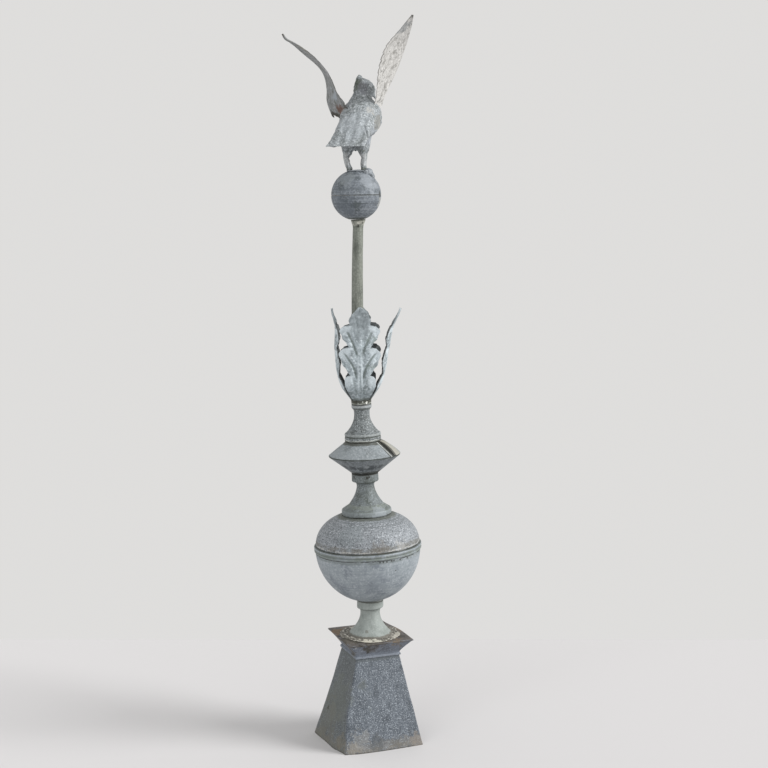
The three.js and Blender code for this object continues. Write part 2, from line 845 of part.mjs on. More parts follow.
// The origin is the middle of the finial's box, on the surface that it stands on.
const box = new THREE.Box3().setFromObject(finial, true);
const middle = box.getCenter(new THREE.Vector3());
const model = new THREE.Group();
finial.position.set(-middle.x, -middle.y, 0);
model.add(finial);

export default model;
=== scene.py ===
import math

import bmesh
import bpy
from mathutils import Matrix, Vector, noise


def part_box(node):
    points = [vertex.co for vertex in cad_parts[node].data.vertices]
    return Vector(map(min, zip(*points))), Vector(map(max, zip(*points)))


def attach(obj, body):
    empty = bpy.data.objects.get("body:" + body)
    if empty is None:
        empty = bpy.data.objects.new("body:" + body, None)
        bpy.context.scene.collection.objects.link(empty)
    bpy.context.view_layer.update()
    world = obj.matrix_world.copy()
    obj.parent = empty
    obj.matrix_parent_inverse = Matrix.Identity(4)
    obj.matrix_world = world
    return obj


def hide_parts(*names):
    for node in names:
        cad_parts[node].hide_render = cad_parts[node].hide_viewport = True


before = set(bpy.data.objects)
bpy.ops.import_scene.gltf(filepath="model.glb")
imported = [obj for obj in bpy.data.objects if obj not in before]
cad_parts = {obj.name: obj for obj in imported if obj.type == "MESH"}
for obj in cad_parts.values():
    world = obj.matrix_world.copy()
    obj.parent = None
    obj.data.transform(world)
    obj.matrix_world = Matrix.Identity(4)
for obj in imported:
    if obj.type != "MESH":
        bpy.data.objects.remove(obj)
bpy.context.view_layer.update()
print("frame loaded")

# Places and sizes below are in millimetres in each piece's own frame, and become metres when a mesh is made.
millimetre = 0.001
fit = 0.3  # gap between two soldered pieces

# How the work above the shoe is stacked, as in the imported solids.
stackValues = {
    "capSide": 166,
    "upperTurn": -21,
    "lowerNeckHeight": 89.5,
    "lean": 2.45,
    "stemLength": 435,
    "ferruleRadius": 18,
    "stemBow": 12.5,
    "stemBowFrom": 0.4,
    "topBallRadius": 60,
    "topBallOffset": -2.5,
    "topBallTurn": 1.5,
    "birdHeading": 77,
}


def low(node, axis=2):
    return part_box(node)[0][axis] / millimetre


def high(node, axis=2):
    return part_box(node)[1][axis] / millimetre


def mix(a, b, t):
    return a + (b - a) * t


def smooth(t, start=0.0, end=1.0):
    t = min(max((t - start) / (end - start), 0.0), 1.0)
    return t * t * (3 - 2 * t)


def along(stations, t):  # a value read smoothly from a short list of [place, value] stations
    last = len(stations) - 1
    if t <= stations[0][0]:
        return stations[0][1]
    if t >= stations[last][0]:
        return stations[last][1]
    i = next(k for k, s in enumerate(stations) if s[0] > t) - 1

    def slope(k):
        a, b = stations[max(k - 1, 0)], stations[min(k + 1, last)]
        return (b[1] - a[1]) / (b[0] - a[0])

    (t0, v0), (t1, v1) = stations[i], stations[i + 1]
    span = t1 - t0
    u = (t - t0) / span
    bulge = slope(i) * span * u * (1 - u) ** 2 - slope(i + 1) * span * u * u * (1 - u)
    return mix(v0, v1, u * u * (3 - 2 * u)) + bulge


def grain(point, size, seed=0.0):  # smooth noise from -1 to 1 with features of about that size
    return noise.noise(Vector(point) / size + Vector((seed, seed * 1.7, seed * 0.6)))


# Frames of the parts of the stack, in millimetres.
def shifted(x, y, z):
    return Matrix.Translation((x, y, z))


def turnedBy(degrees, axis):
    return Matrix.Rotation(math.radians(degrees), 4, axis)


axisX = low("base_cap", 0) + stackValues["capSide"] / 2
axisY = low("base_cap", 1) + stackValues["capSide"] / 2
shoeHeight = high("base_shoe")
capHeight = high("base_cap") - low("base_cap")
baseFrame = shifted(axisX, axisY, 0)
capFrame = shifted(axisX, axisY, shoeHeight + fit)
workSeat = shoeHeight + capHeight + 2 * fit
workFrame = shifted(axisX, axisY, workSeat) @ turnedBy(stackValues["upperTurn"], "Z")
stackSeat = stackValues["lowerNeckHeight"] + fit
stackFrame = workFrame @ shifted(0, 0, stackSeat) @ turnedBy(-stackValues["lean"], "Y")


# Materials
def newGroup(name, kind, inputs, outputs):  # each socket as its label, its kind and, for an input, its value
    tree = bpy.data.node_groups.new(name, kind)
    for label, socketKind, value in inputs:
        socket = tree.interface.new_socket(label, in_out="INPUT", socket_type="NodeSocket" + socketKind)
        if value is not None:
            socket.default_value = value
    for label, socketKind in outputs:
        tree.interface.new_socket(label, in_out="OUTPUT", socket_type="NodeSocket" + socketKind)
    return tree, tree.nodes.new("NodeGroupInput").outputs, tree.nodes.new("NodeGroupOutput").inputs


def feed(tree, socket, value):  # a link or a plain value
    if isinstance(value, bpy.types.NodeSocket):
        tree.links.new(value, socket)
    else:
        socket.default_value = value


def node(tree, kind, settings=None, **inputs):  # an input is given by its label, or by i and its number
    made = tree.nodes.new(kind)
    for key, value in (settings or {}).items():
        setattr(made, key, value)
    for key, value in inputs.items():
        byNumber = key[0] == "i" and key[1:].isdigit()
        feed(tree, made.inputs[int(key[1:]) if byNumber else key.replace("_", " ")], value)
    return made


def reckon(tree, operation, a, b=0.0, clamp=False):
    return node(tree, "ShaderNodeMath", {"operation": operation, "use_clamp": clamp}, i0=a, i1=b).outputs[0]


def times(tree, a, b):
    return reckon(tree, "MULTIPLY", a, b)


def plus(tree, a, b):
    return reckon(tree, "ADD", a, b)


def minus(tree, a, b):
    return reckon(tree, "SUBTRACT", a, b)


def vectorStep(tree, operation, **inputs):
    return node(tree, "ShaderNodeVectorMath", {"operation": operation}, **inputs).outputs


def ramp(tree, value, start, end):  # 0 below start, 1 above end
    smoothed = {"interpolation_type": "SMOOTHSTEP"}
    return node(tree, "ShaderNodeMapRange", smoothed, i0=value, i1=start, i2=end).outputs[0]


def blend(tree, factor, a, b):
    made = node(tree, "ShaderNodeMix", {"data_type": "RGBA"})
    for number, value in ((0, factor), (6, a), (7, b)):
        feed(tree, made.inputs[number], value)
    return made.outputs[2]


def noiseAt(tree, vector, size, detail=4.0, rough=0.6):  # the size is one value, a triple or a socket
    plain = isinstance(size, bpy.types.NodeSocket) or hasattr(size, "__len__")
    place = vectorStep(tree, "DIVIDE", i0=vector, i1=size if plain else (size,) * 3)[0]
    settings = {"Vector": place, "Scale": 1.0, "Detail": detail, "Roughness": rough}
    return node(tree, "ShaderNodeTexNoise", None, **settings).outputs["Fac"]


def color(hexCode):  # a screen colour as linear values
    parts = [int(hexCode[i : i + 2], 16) / 255 for i in (1, 3, 5)]
    return tuple(c / 12.92 if c <= 0.04045 else ((c + 0.055) / 1.055) ** 2.4 for c in parts) + (1.0,)


def makeZincPatina():  # mottled grey with speckle, streaks, pits and spun rings, as weathered zinc has
    tree, given, result = newGroup(
        "zincPatina",
        "ShaderNodeTree",
        [
            ("Vector", "Vector", None),
            ("Base", "Color", (0.3, 0.3, 0.3, 1)),
            ("Dark", "Color", (0.1, 0.1, 0.1, 1)),
            ("Pale", "Color", (0.6, 0.6, 0.6, 1)),
            ("Mottle Size", "Float", 40.0),
            ("Mottle", "Float", 0.5),
            ("Speckle Size", "Float", 3.0),
            ("Speckle", "Float", 0.3),
            ("Streak", "Float", 0.2),
            ("Pits", "Float", 0.2),
            ("Rings", "Float", 0.0),
        ],
        [("Color", "Color"), ("Roughness", "Float"), ("Height", "Float")],
    )
    place, dark, pale = given["Vector"], given["Dark"], given["Pale"]
    cloud = noiseAt(tree, place, given["Mottle Size"], 5.0, 0.62)
    wisps = noiseAt(tree, place, times(tree, given["Mottle Size"], 0.22), 5.0, 0.7)
    specks = noiseAt(tree, place, given["Speckle Size"], 2.0, 0.55)
    runs = noiseAt(tree, place, (9.0, 9.0, 110.0))
    lathe = noiseAt(tree, place, (90.0, 90.0, 3.4), 3.0)
    holes = noiseAt(tree, place, 4.6, 1.0, 0.5)
    out = given["Base"]
    for texture, start, end, label, share, shade in (
        (cloud, 0.47, 0.66, "Mottle", 1.0, dark),
        (wisps, 0.5, 0.72, "Mottle", 0.8, pale),
        (specks, 0.54, 0.68, "Speckle", 1.0, pale),
        (specks, 0.46, 0.34, "Speckle", 0.8, dark),
        (runs, 0.5, 0.68, "Streak", 1.0, dark),
        (lathe, 0.5, 0.66, "Rings", 1.0, dark),
        (lathe, 0.46, 0.34, "Rings", 1.0, pale),
        (holes, 0.69, 0.75, "Pits", 1.0, (0.02, 0.022, 0.022, 1)),
    ):
        mask = times(tree, ramp(tree, texture, start, end), times(tree, given[label], share))
        out = blend(tree, mask, out, shade)
    pit = mask
    tree.links.new(out, result["Color"])
    tree.links.new(plus(tree, 0.52, times(tree, wisps, 0.28)), result["Roughness"])
    fine = times(tree, specks, plus(tree, 0.15, given["Speckle"]))
    sunk = minus(tree, fine, times(tree, pit, 0.8))
    tree.links.new(plus(tree, sunk, times(tree, wisps, 0.35)), result["Height"])
    return tree


def makeRaggedBand():  # a ragged line of dirt or solder round a piece at one height
    tree, given, result = newGroup(
        "raggedBand",
        "ShaderNodeTree",
        [
            ("Vector", "Vector", None),
            ("Height", "Float", 0.0),
            ("Half Width", "Float", 3.0),
            ("Ragged", "Float", 3.0),
            ("Broken", "Float", 0.3),
            ("Seed", "Float", 0.0),
        ],
        [("Mask", "Float")],
    )
    moved = vectorStep(tree, "ADD", i0=given["Vector"], i1=given["Seed"])[0]
    offset = times(tree, minus(tree, noiseAt(tree, moved, 11.0, 4.0, 0.65), 0.5), given["Ragged"])
    height = node(tree, "ShaderNodeSeparateXYZ", i0=given["Vector"]).outputs[2]
    away = reckon(tree, "ABSOLUTE", plus(tree, minus(tree, height, given["Height"]), offset))
    near = ramp(tree, reckon(tree, "DIVIDE", away, given["Half Width"]), 1.15, 0.55)
    gaps = ramp(tree, noiseAt(tree, moved, 23.0, 3.0), 0.36, 0.5)
    whole = minus(tree, 1.0, given["Broken"])
    kept = reckon(tree, "ADD", whole, times(tree, gaps, given["Broken"]), True)
    tree.links.new(times(tree, near, kept), result["Mask"])
    return tree


def makeBlotch():  # a ragged round mark at one place
    tree, given, result = newGroup(
        "blotch",
        "ShaderNodeTree",
        [
            ("Vector", "Vector", None),
            ("Place", "Vector", None),
            ("Radius", "Float", 10.0),
            ("Ragged", "Float", 0.6),
        ],
        [("Mask", "Float")],
    )
    gap = vectorStep(tree, "DISTANCE", i0=given["Vector"], i1=given["Place"])["Value"]
    share = reckon(tree, "DIVIDE", gap, given["Radius"])
    wander = noiseAt(tree, given["Vector"], times(tree, given["Radius"], 0.7), 4.0, 0.7)
    edge = times(tree, minus(tree, wander, 0.5), given["Ragged"])
    tree.links.new(ramp(tree, plus(tree, share, times(tree, edge, 2.0)), 1.0, 0.75), result["Mask"])
    return tree


zincPatina = makeZincPatina()
raggedBand = makeRaggedBand()
blotch = makeBlotch()
patinaAmounts = ("Mottle Size", "Mottle", "Speckle Size", "Speckle", "Streak", "Pits", "Rings")
finishValues = {"bumpDepth": 0.0006, "bump": 0.6, "metallic": 0.15, "fraySize": 5.0, "fray": 0.7}


# Bands are (height, half width, ragged, broken, shade, strength), blotches are (place, radius, ragged,
# shade, strength), and marks are mesh attributes that paint a shade, as (name, shade, strength).
def zinc(name, place, values, bands=(), blotches=(), marks=()):
    material = bpy.data.materials.new(name)
    material.use_nodes = True
    tree = material.node_tree
    shader = tree.nodes["Principled BSDF"]
    inverse = place.inverted()
    local = node(
        tree,
        "ShaderNodeMapping",
        {"vector_type": "POINT"},
        Vector=tree.nodes.new("ShaderNodeTexCoord").outputs["Object"],
        Location=inverse.to_translation(),
        Rotation=inverse.to_euler(),
        Scale=(1 / millimetre,) * 3,
    ).outputs[0]

    def placed(group, **settings):
        made = node(tree, "ShaderNodeGroup", {"node_tree": group}, Vector=local)
        for label, value in settings.items():
            made.inputs[label.replace("_", " ")].default_value = value
        return made.outputs

    shades = {label: color(values[label]) for label in ("Base", "Dark", "Pale")}
    amounts = {label.replace(" ", "_"): values[label] for label in values if label in patinaAmounts}
    patina = placed(zincPatina, **shades, **amounts)
    out = patina["Color"]
    for index, (height, halfWidth, ragged, broken, shade, strength) in enumerate(bands):
        sizes = {"Height": height, "Half_Width": halfWidth, "Ragged": ragged, "Broken": broken}
        band = placed(raggedBand, **sizes, Seed=37.0 * index)[0]
        out = blend(tree, times(tree, band, strength), out, color(shade))
    for attribute, shade, strength in marks:
        mask = node(tree, "ShaderNodeAttribute", {"attribute_name": attribute}).outputs["Fac"]
        wander = minus(tree, noiseAt(tree, local, finishValues["fraySize"]), 0.5)
        frayed = plus(tree, mask, times(tree, wander, finishValues["fray"]))
        out = blend(tree, times(tree, ramp(tree, frayed, 0.25, 1.0), strength), out, color(shade))
    for spot, radius, ragged, shade, strength in blotches:
        mark = placed(blotch, Place=spot, Radius=radius, Ragged=ragged)[0]
        out = blend(tree, times(tree, mark, strength), out, color(shade))
    tree.links.new(out, shader.inputs["Base Color"])
    tree.links.new(patina["Roughness"], shader.inputs["Roughness"])
    bump = node(
        tree,
        "ShaderNodeBump",
        Height=patina["Height"],
        Distance=finishValues["bumpDepth"],
        Strength=values.get("Bump", finishValues["bump"]),
    )
    tree.links.new(bump.outputs[0], shader.inputs["Normal"])
    shader.inputs["Metallic"].default_value = values.get("Metallic", finishValues["metallic"])
    return material


# Meshes
def finishPiece(name, mesh, place, material, nodes, sharp=35):
    mesh.name = name
    mesh.transform(Matrix.Scale(millimetre, 4) @ place)
    cleaned = bmesh.new()
    cleaned.from_mesh(mesh)
    bmesh.ops.remove_doubles(cleaned, verts=cleaned.verts, dist=2e-6)
    bmesh.ops.recalc_face_normals(cleaned, faces=cleaned.faces)
    cleaned.to_mesh(mesh)
    cleaned.free()
    mesh.materials.clear()
    mesh.materials.append(material)
    mesh.shade_smooth()
    mesh.set_sharp_from_angle(angle=math.radians(sharp))
    piece = bpy.data.objects.new(name, mesh)
    bpy.context.scene.collection.objects.link(piece)
    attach(piece, "root")
    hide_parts(*nodes)
    return piece


def meshOf(points, faces):
    mesh = bpy.data.meshes.new("work")
    mesh.from_pydata([tuple(p) for p in points], [], faces)
    return mesh


def paintMask(mesh, name, values):  # an attribute that a material's marks read, one value to a point
    mesh.attributes.new(name, "FLOAT", "POINT").data.foreach_set("value", values)


def sheetFaces(rows, columns):  # two layers of a grid of points, joined all round their edge
    width = columns + 1
    layer = (rows + 1) * width
    faces = []
    for i in range(rows):
        for j in range(columns):
            a = i * width + j
            faces.append((a, a + 1, a + 1 + width, a + width))
            faces.append((layer + a, layer + a + width, layer + a + 1 + width, layer + a + 1))
        for a in (i * width, i * width + columns):
            faces.append((a, a + width, layer + a + width, layer + a))
    for end in (0, rows * width):
        for a in range(end, end + columns):
            faces.append((a, a + 1, layer + a + 1, layer + a))
    return faces


def evaluated(piece):  # the piece's mesh with its modifiers applied
    made = bpy.data.meshes.new_from_object(piece.evaluated_get(bpy.context.evaluated_depsgraph_get()))
    bpy.data.objects.remove(piece)
    return made


# Turned work: a profile of [radius, height] points is carried round the axis, then dented a little.
def makeTurning():
    tree, given, result = newGroup(
        "turnedZinc",
        "GeometryNodeTree",
        [
            ("Profile", "Geometry", None),
            ("Sides", "Int", 96),
            ("Dent Depth", "Float", 0.5),
            ("Dent Size", "Float", 60.0),
            ("Seed", "Float", 0.0),
            ("Finish", "Material", None),
        ],
        [("Geometry", "Geometry")],
    )

    def position():
        return tree.nodes.new("GeometryNodeInputPosition").outputs[0]

    def parted(vector):
        return node(tree, "ShaderNodeSeparateXYZ", i0=vector).outputs

    counting = node(tree, "GeometryNodeAttributeDomainSize", {"component": "MESH"}, Geometry=given["Profile"])
    count = counting.outputs[0]
    sizes = {"Size_X": 1.0, "Size_Y": 1.0, "Vertices_X": plus(tree, given["Sides"], 1.0), "Vertices_Y": count}
    grid = node(tree, "GeometryNodeMeshGrid", **sizes)
    place = parted(position())  # across the grid goes round the axis, and up the grid goes along the profile
    row = reckon(tree, "ROUND", times(tree, plus(tree, place[1], 0.5), minus(tree, count, 1.0)))
    angle = times(tree, plus(tree, place[0], 0.5), 2 * math.pi)
    sampling = {"data_type": "FLOAT_VECTOR", "domain": "POINT"}
    sample = node(tree, "GeometryNodeSampleIndex", sampling, Geometry=given["Profile"])
    tree.links.new(position(), sample.inputs["Value"])
    tree.links.new(row, sample.inputs["Index"])
    point = parted(sample.outputs["Value"])
    x = times(tree, point[0], reckon(tree, "COSINE", angle))
    y = times(tree, point[0], reckon(tree, "SINE", angle))
    carried = node(tree, "ShaderNodeCombineXYZ", X=x, Y=y, Z=point[2]).outputs[0]
    turned = node(tree, "GeometryNodeSetPosition", Geometry=grid.outputs["Mesh"], Position=carried)
    welded = node(tree, "GeometryNodeMergeByDistance", Geometry=turned.outputs[0], Distance=0.01)
    where = position()
    scaled = vectorStep(tree, "DIVIDE", i0=where, i1=given["Dent Size"])[0]
    waving = {"Vector": scaled, "W": given["Seed"], "Scale": 1.0, "Detail": 2.0}
    wave = node(tree, "ShaderNodeTexNoise", {"noise_dimensions": "4D"}, **waving).outputs["Fac"]
    depth = times(tree, minus(tree, wave, 0.62), given["Dent Depth"])  # mostly inwards
    flat = vectorStep(tree, "MULTIPLY", i0=where, i1=(1.0, 1.0, 0.0))[0]
    dent = vectorStep(tree, "SCALE", i0=vectorStep(tree, "NORMALIZE", i0=flat)[0], Scale=depth)[0]
    dented = node(tree, "GeometryNodeSetPosition", Geometry=welded.outputs[0], Offset=dent)
    whole = node(tree, "GeometryNodeRealizeInstances", Geometry=dented.outputs[0])
    painted = node(tree, "GeometryNodeSetMaterial", Geometry=whole.outputs[0], Material=given["Finish"])
    tree.links.new(painted.outputs[0], result[0])
    return tree


turning = makeTurning()


def turnedMesh(profile, material, sides=96, dentDepth=0.6, dentSize=60.0, seed=0.0):
    points = [(radius, 0, height) for radius, height in profile]
    mesh = bpy.data.meshes.new("profile")
    mesh.from_pydata(points, [(i, i + 1) for i in range(len(points) - 1)], [])
    piece = bpy.data.objects.new("profile", mesh)
    bpy.context.scene.collection.objects.link(piece)
    modifier = piece.modifiers.new("turning", "NODES")
    modifier.node_group = turning
    settings = {
        "Sides": sides, "Dent Depth": dentDepth, "Dent Size": dentSize, "Seed": seed, "Finish": material,
    }
    for item in turning.interface.items_tree:
        if item.name in settings and item.in_out == "INPUT":
            modifier[item.identifier] = settings[item.name]
    return evaluated(piece)


def coved(fromRadius, fromHeight, toRadius, toHeight, power, steps):
    shares = [i / steps for i in range(steps + 1)]
    spread = fromRadius - toRadius
    return [(toRadius + spread * (1 - t) ** power, mix(fromHeight, toHeight, t)) for t in shares]


def dome(radius, height, squareness, fromHeight, toHeight, steps):
    start = math.asin((fromHeight / height) ** (squareness / 2))
    end = math.asin((toHeight / height) ** (squareness / 2))
    angles = [mix(start, end, i / steps) for i in range(steps + 1)]
    power = 2 / squareness
    return [(radius * math.cos(a) ** power, height * math.sin(a) ** power) for a in angles]


def softened(profile, steps=2, size=0.8, sharpest=25):  # blunts each corner of more degrees than that
    out = [profile[0]]
    for before, here, after in zip(profile, profile[1:], profile[2:]):
        toBefore = Vector(before) - Vector(here)
        toAfter = Vector(after) - Vector(here)
        turn = toBefore.angle(-toAfter) if toBefore.length and toAfter.length else 0
        if turn < math.radians(sharpest):
            out.append(here)
            continue
        cut = min(size, toBefore.length * 0.45, toAfter.length * 0.45)
        a = Vector(here) + toBefore.normalized() * cut
        b = Vector(here) + toAfter.normalized() * cut
        for k in range(steps + 1):
            t = k / steps
            out.append(tuple(a * (1 - t) ** 2 + Vector(here) * 2 * t * (1 - t) + b * t * t))
    return out + [profile[-1]]


def closed(profile):  # the ends are carried in to the axis
    return softened([(0, profile[0][1])] + profile + [(0, profile[-1][1])])


# Lower neck
lowerNeckValues = {
    "footRadius": 55,
    "footHeight": 2,
    "waistRadius": 24.4,
    "waistHeight": 56,
    "collarRadius": 33,
    "collarHeight": 20.5,
    "zinc": {
        "Base": "#939a97", "Dark": "#737a76", "Pale": "#b6bcb9",
        "Mottle": 0.5, "Mottle Size": 26, "Speckle": 0.16, "Streak": 0.3,
    },
}


def bentNeck(mesh):
    v = lowerNeckValues
    collarFrom = stackValues["lowerNeckHeight"] - v["collarHeight"]
    for vertex in mesh.vertices:
        p = vertex.co
        turn = math.radians(stackValues["lean"]) * smooth(p.z, v["waistHeight"], collarFrom)
        p.z += p.x * math.sin(turn)
        p.x *= math.cos(turn)
    return mesh


def makeLowerNeck():
    v = lowerNeckValues
    height = stackValues["lowerNeckHeight"]
    collarFrom = height - v["collarHeight"]
    material = zinc(
        "neckZinc",
        workFrame,
        v["zinc"],
        bands=[
            # painted shade: a dark groove standing in for the shaded recess under the ball
            (height - 2.5, 2.2, 3, 0.1, "#4e504a", 0.85),
            (collarFrom - 1.5, 1.3, 1.5, 0.4, "#6d726d", 0.6),
            (1.5, 5, 7, 0.3, "#5a544a", 0.8),
        ],
        blotches=[((-8, -40, 16), 5, 1.0, "#6a6a62", 0.6)],
    )
    profile = [
        (v["footRadius"], 0),
        *coved(v["footRadius"], v["footHeight"], v["waistRadius"], v["waistHeight"], 2, 24),
        (v["waistRadius"] + 0.2, mix(v["waistHeight"], collarFrom, 0.4)),
        (mix(v["waistRadius"], v["collarRadius"], 0.22), collarFrom - 4),
        (v["collarRadius"] - 1, collarFrom - 0.5),
        (v["collarRadius"], collarFrom + 1.5),
        (v["collarRadius"] - 0.4, height - 5),
        (v["collarRadius"], height),
    ]
    mesh = bentNeck(turnedMesh(closed(profile), material, dentDepth=0.8, dentSize=35, seed=1))
    return finishPiece("lowerNeck", mesh, workFrame, material, ["lower_neck"])


# Big ball
ballValues = {
    "radius": 130,
    "bowlDepth": 138,
    "domeHeight": 88.5,
    "domeSquareness": 2.3,
    "beadRadius": 132.8,
    "beadHeight": 16,
    "discRadius": 61.3,
    "drips": (30, 38, 47, 58, 64, 79, 96),  # how far to the right each dark run under the bead is
    "spunRings": (70, 82, 97),
    "ringDepth": 0.44,
    "ringWidth": 1.3,
    "bowlZinc": {
        "Base": "#90989d", "Dark": "#69717a", "Pale": "#b9bfc5",
        "Mottle": 0.7, "Mottle Size": 42, "Speckle": 0.3, "Speckle Size": 4.6,
        "Pits": 0.16, "Rings": 0.2, "Bump": 0.8,
    },
    "domeZinc": {
        "Base": "#858a8f", "Dark": "#4c5154", "Pale": "#b4b9be",
        "Mottle": 0.3, "Mottle Size": 30, "Speckle": 1.0, "Speckle Size": 3.4,
        "Pits": 0.6, "Rings": 0.2, "Bump": 1.0,
    },
}
collar = lowerNeckValues["collarRadius"]
bowlReach = ballValues["bowlDepth"] * math.sqrt(1 - (collar / ballValues["radius"]) ** 2)
shoulders = ballValues["domeSquareness"]
discShare = ballValues["discRadius"] / ballValues["radius"]
domeReach = ballValues["domeHeight"] * (1 - discShare ** shoulders) ** (1 / shoulders)
domeFrom = ballValues["beadHeight"] / 2 + fit


def makeBigBallLower():
    v = ballValues
    half = v["beadHeight"] / 2
    curve = dome(v["radius"], v["bowlDepth"], 2, half + 1.5, bowlReach, 48)
    bowl = [(r, bowlReach - d) for r, d in curve][::-1]
    rim = v["beadRadius"]
    bead = [  # two rolled swellings, as [how far in from the rim, how far above the bowl's mouth]
        (3.2, -half - 0.6),
        (2.6, -half),
        (0.6, -half + 1.6),
        (0.1, -half + 3.4),
        (1.2, -half + 5),
        (2.2, -2.2),
        (1.0, -0.6),
        (0, 1.8),
        (0, 4.2),
        (0.8, 6.4),
        (2.4, half - 0.4),
        (4, half),
    ]
    bead = [(rim - inwards, bowlReach + up) for inwards, up in bead]
    underBead = bowlReach - half - 4
    drips = []
    for x in v["drips"]:
        drips.append(((x, -math.sqrt(v["radius"] ** 2 - x * x), underBead), 2.6, 1.6, "#2b2c28", 0.9))
    material = zinc(
        "bowlZinc",
        stackFrame,
        v["bowlZinc"],
        bands=[
            (bowlReach - half - 1.2, 1.3, 2.4, 0.8, "#2a2c27", 0.95),
            (bowlReach - 2, 6, 9, 0.6, "#70776f", 0.75),
            (bowlReach - 1.8, 1.4, 1.4, 0.5, "#656d6d", 0.5),
            (bowlReach - half - 5, 4, 9, 0.9, "#6d7472", 0.5),
            (bowlReach + half - 0.5, 1.6, 1.5, 0.2, "#4d524e", 0.9),
            (2, 5, 6, 0.3, "#5f655f", 0.7),
        ],
        blotches=[
            ((-88, -58, 40), 4.5, 0.8, "#23251f", 0.9),
            ((66, -104, 96), 2.6, 0.6, "#3c403c", 0.9),
            ((20, -120, 60), 30, 1.2, "#79828a", 0.3),
            *drips,
        ],
    )
    mesh = turnedMesh(closed(bowl + bead), material, sides=144, dentDepth=1.6, dentSize=90, seed=2)
    return finishPiece("bigBallLower", mesh, stackFrame, material, ["big_ball_lower"])


seats = {"bigBallUpper": bowlReach + ballValues["beadHeight"] / 2 + fit}


def makeBigBallUpper():
    v = ballValues
    place = stackFrame @ shifted(0, 0, seats["bigBallUpper"])
    curve = dome(v["radius"] - 1, v["domeHeight"], v["domeSquareness"], domeFrom, domeReach, 56)
    rings = []
    for radius, height in curve:  # faint spun rings near the top
        near = [math.exp(-(((radius - at) / v["ringWidth"]) ** 2)) for at in v["spunRings"]]
        sunk = sum(v["ringDepth"] * share for share in near)
        rings.append((radius, height - domeFrom - sunk))
    top = domeReach - domeFrom
    material = zinc(
        "domeZinc",
        place,
        v["domeZinc"],
        bands=[
            (9, 7, 16, 0.8, "#625f55", 0.55),
            (5, 1.3, 12, 1.0, "#c9c8c2", 0.5),
            (0.3, 2.0, 5, 0.35, "#35372e", 0.95),
            (top - 1, 3.6, 6, 0.2, "#55594f", 0.75),
            (top - 7.6, 0.8, 0.6, 0.5, "#62686a", 0.6),
            (top - 14.8, 0.8, 0.6, 0.5, "#62686a", 0.5),
        ],
        blotches=[
            ((-40, -105, 45), 34, 1.3, "#717a7d", 0.35),
            ((30, -122, 8), 20, 2.4, "#605a50", 0.4),
            ((84, -100, 10), 18, 2.4, "#b4b3af", 0.3),
        ],
    )
    mesh = turnedMesh(closed(rings), material, sides=144, dentDepth=1.4, dentSize=80, seed=3)
    return finishPiece("bigBallUpper", mesh, place, material, ["big_ball_upper"])


# Middle neck
middleNeckValues = {
    "height": 103,
    "rimRadius": 61.3,
    "rimHeight": 13.5,
    "shoulderRadius": 43,
    "shoulderHeight": 11,
    "waistRadius": 21.6,
    "waistHeight": 71,
    "collarRadius": 33,
    "collarHeight": 20.5,
    "offset": 1,
    "zinc": {
        "Base": "#6c7375", "Dark": "#434942", "Pale": "#9aa1a2",
        "Mottle": 0.7, "Mottle Size": 26, "Speckle": 0.55, "Speckle Size": 3.6, "Streak": 0.4, "Bump": 0.9,
    },
}
seats["middleNeck"] = seats["bigBallUpper"] + domeReach - ballValues["beadHeight"] / 2


def makeMiddleNeck():
    v = middleNeckValues
    place = stackFrame @ shifted(v["offset"], 0, seats["middleNeck"])
    shoulderTop = v["rimHeight"] + v["shoulderHeight"]
    collarFrom = v["height"] - v["collarHeight"]
    rim = v["rimRadius"]
    profile = [
        (rim - 0.8, 0),
        (rim, 1.2),
        (rim, v["rimHeight"] - 2.5),
        (rim - 2, v["rimHeight"] + 0.3),
        *coved(v["shoulderRadius"], shoulderTop, v["waistRadius"], v["waistHeight"], 1.7, 22),
        (v["waistRadius"] + 0.3, collarFrom - 7),
        (v["waistRadius"] + 3.5, collarFrom - 3),
        (v["collarRadius"] - 0.8, collarFrom - 0.3),
        (v["collarRadius"], collarFrom + 1.5),
        (v["collarRadius"] - 0.3, v["height"] - 4),
        (v["collarRadius"], v["height"]),
    ]
    material = zinc(
        "middleNeckZinc",
        place,
        v["zinc"],
        bands=[
            (v["rimHeight"] - 5, 6, 3, 0.5, "#8f9799", 0.6),
            (v["rimHeight"] + 1, 1.6, 2, 0.4, "#666d66", 0.5),
            (0.2, 2.4, 5, 0.4, "#35362f", 0.9),
            (0.0, 1.3, 1.6, 0.35, "#22231e", 0.95),
            (shoulderTop - 2, 5, 9, 0.6, "#858c82", 0.4),
            (collarFrom - 2, 1.6, 1.6, 0.3, "#5b6057", 0.7),
            # painted shade under the lower cone's overhang, on a ragged dark line at the joint
            (v["height"] - 0.8, 2.6, 4, 0.3, "#262721", 0.95),
        ],
        blotches=[
            ((36, -48, 7), 24, 2.2, "#a6aeb5", 0.35),
            ((-48, -36, 7), 26, 1.6, "#6b7273", 0.5),
            ((-27, -19, collarFrom + 13), 3.4, 1.2, "#26261f", 0.9),
            ((-24, -23, collarFrom + 9), 1.8, 0.8, "#2e2f28", 0.85),
            ((6, -32, collarFrom + 12), 3.6, 1.2, "#2a2b24", 0.9),
            ((11, -32, collarFrom + 14), 3.2, 1.2, "#2a2b24", 0.9),
        ],
    )
    mesh = turnedMesh(closed(profile), material, dentDepth=1.0, dentSize=40, seed=4)
    return finishPiece("middleNeck", mesh, place, material, ["middle_neck"])


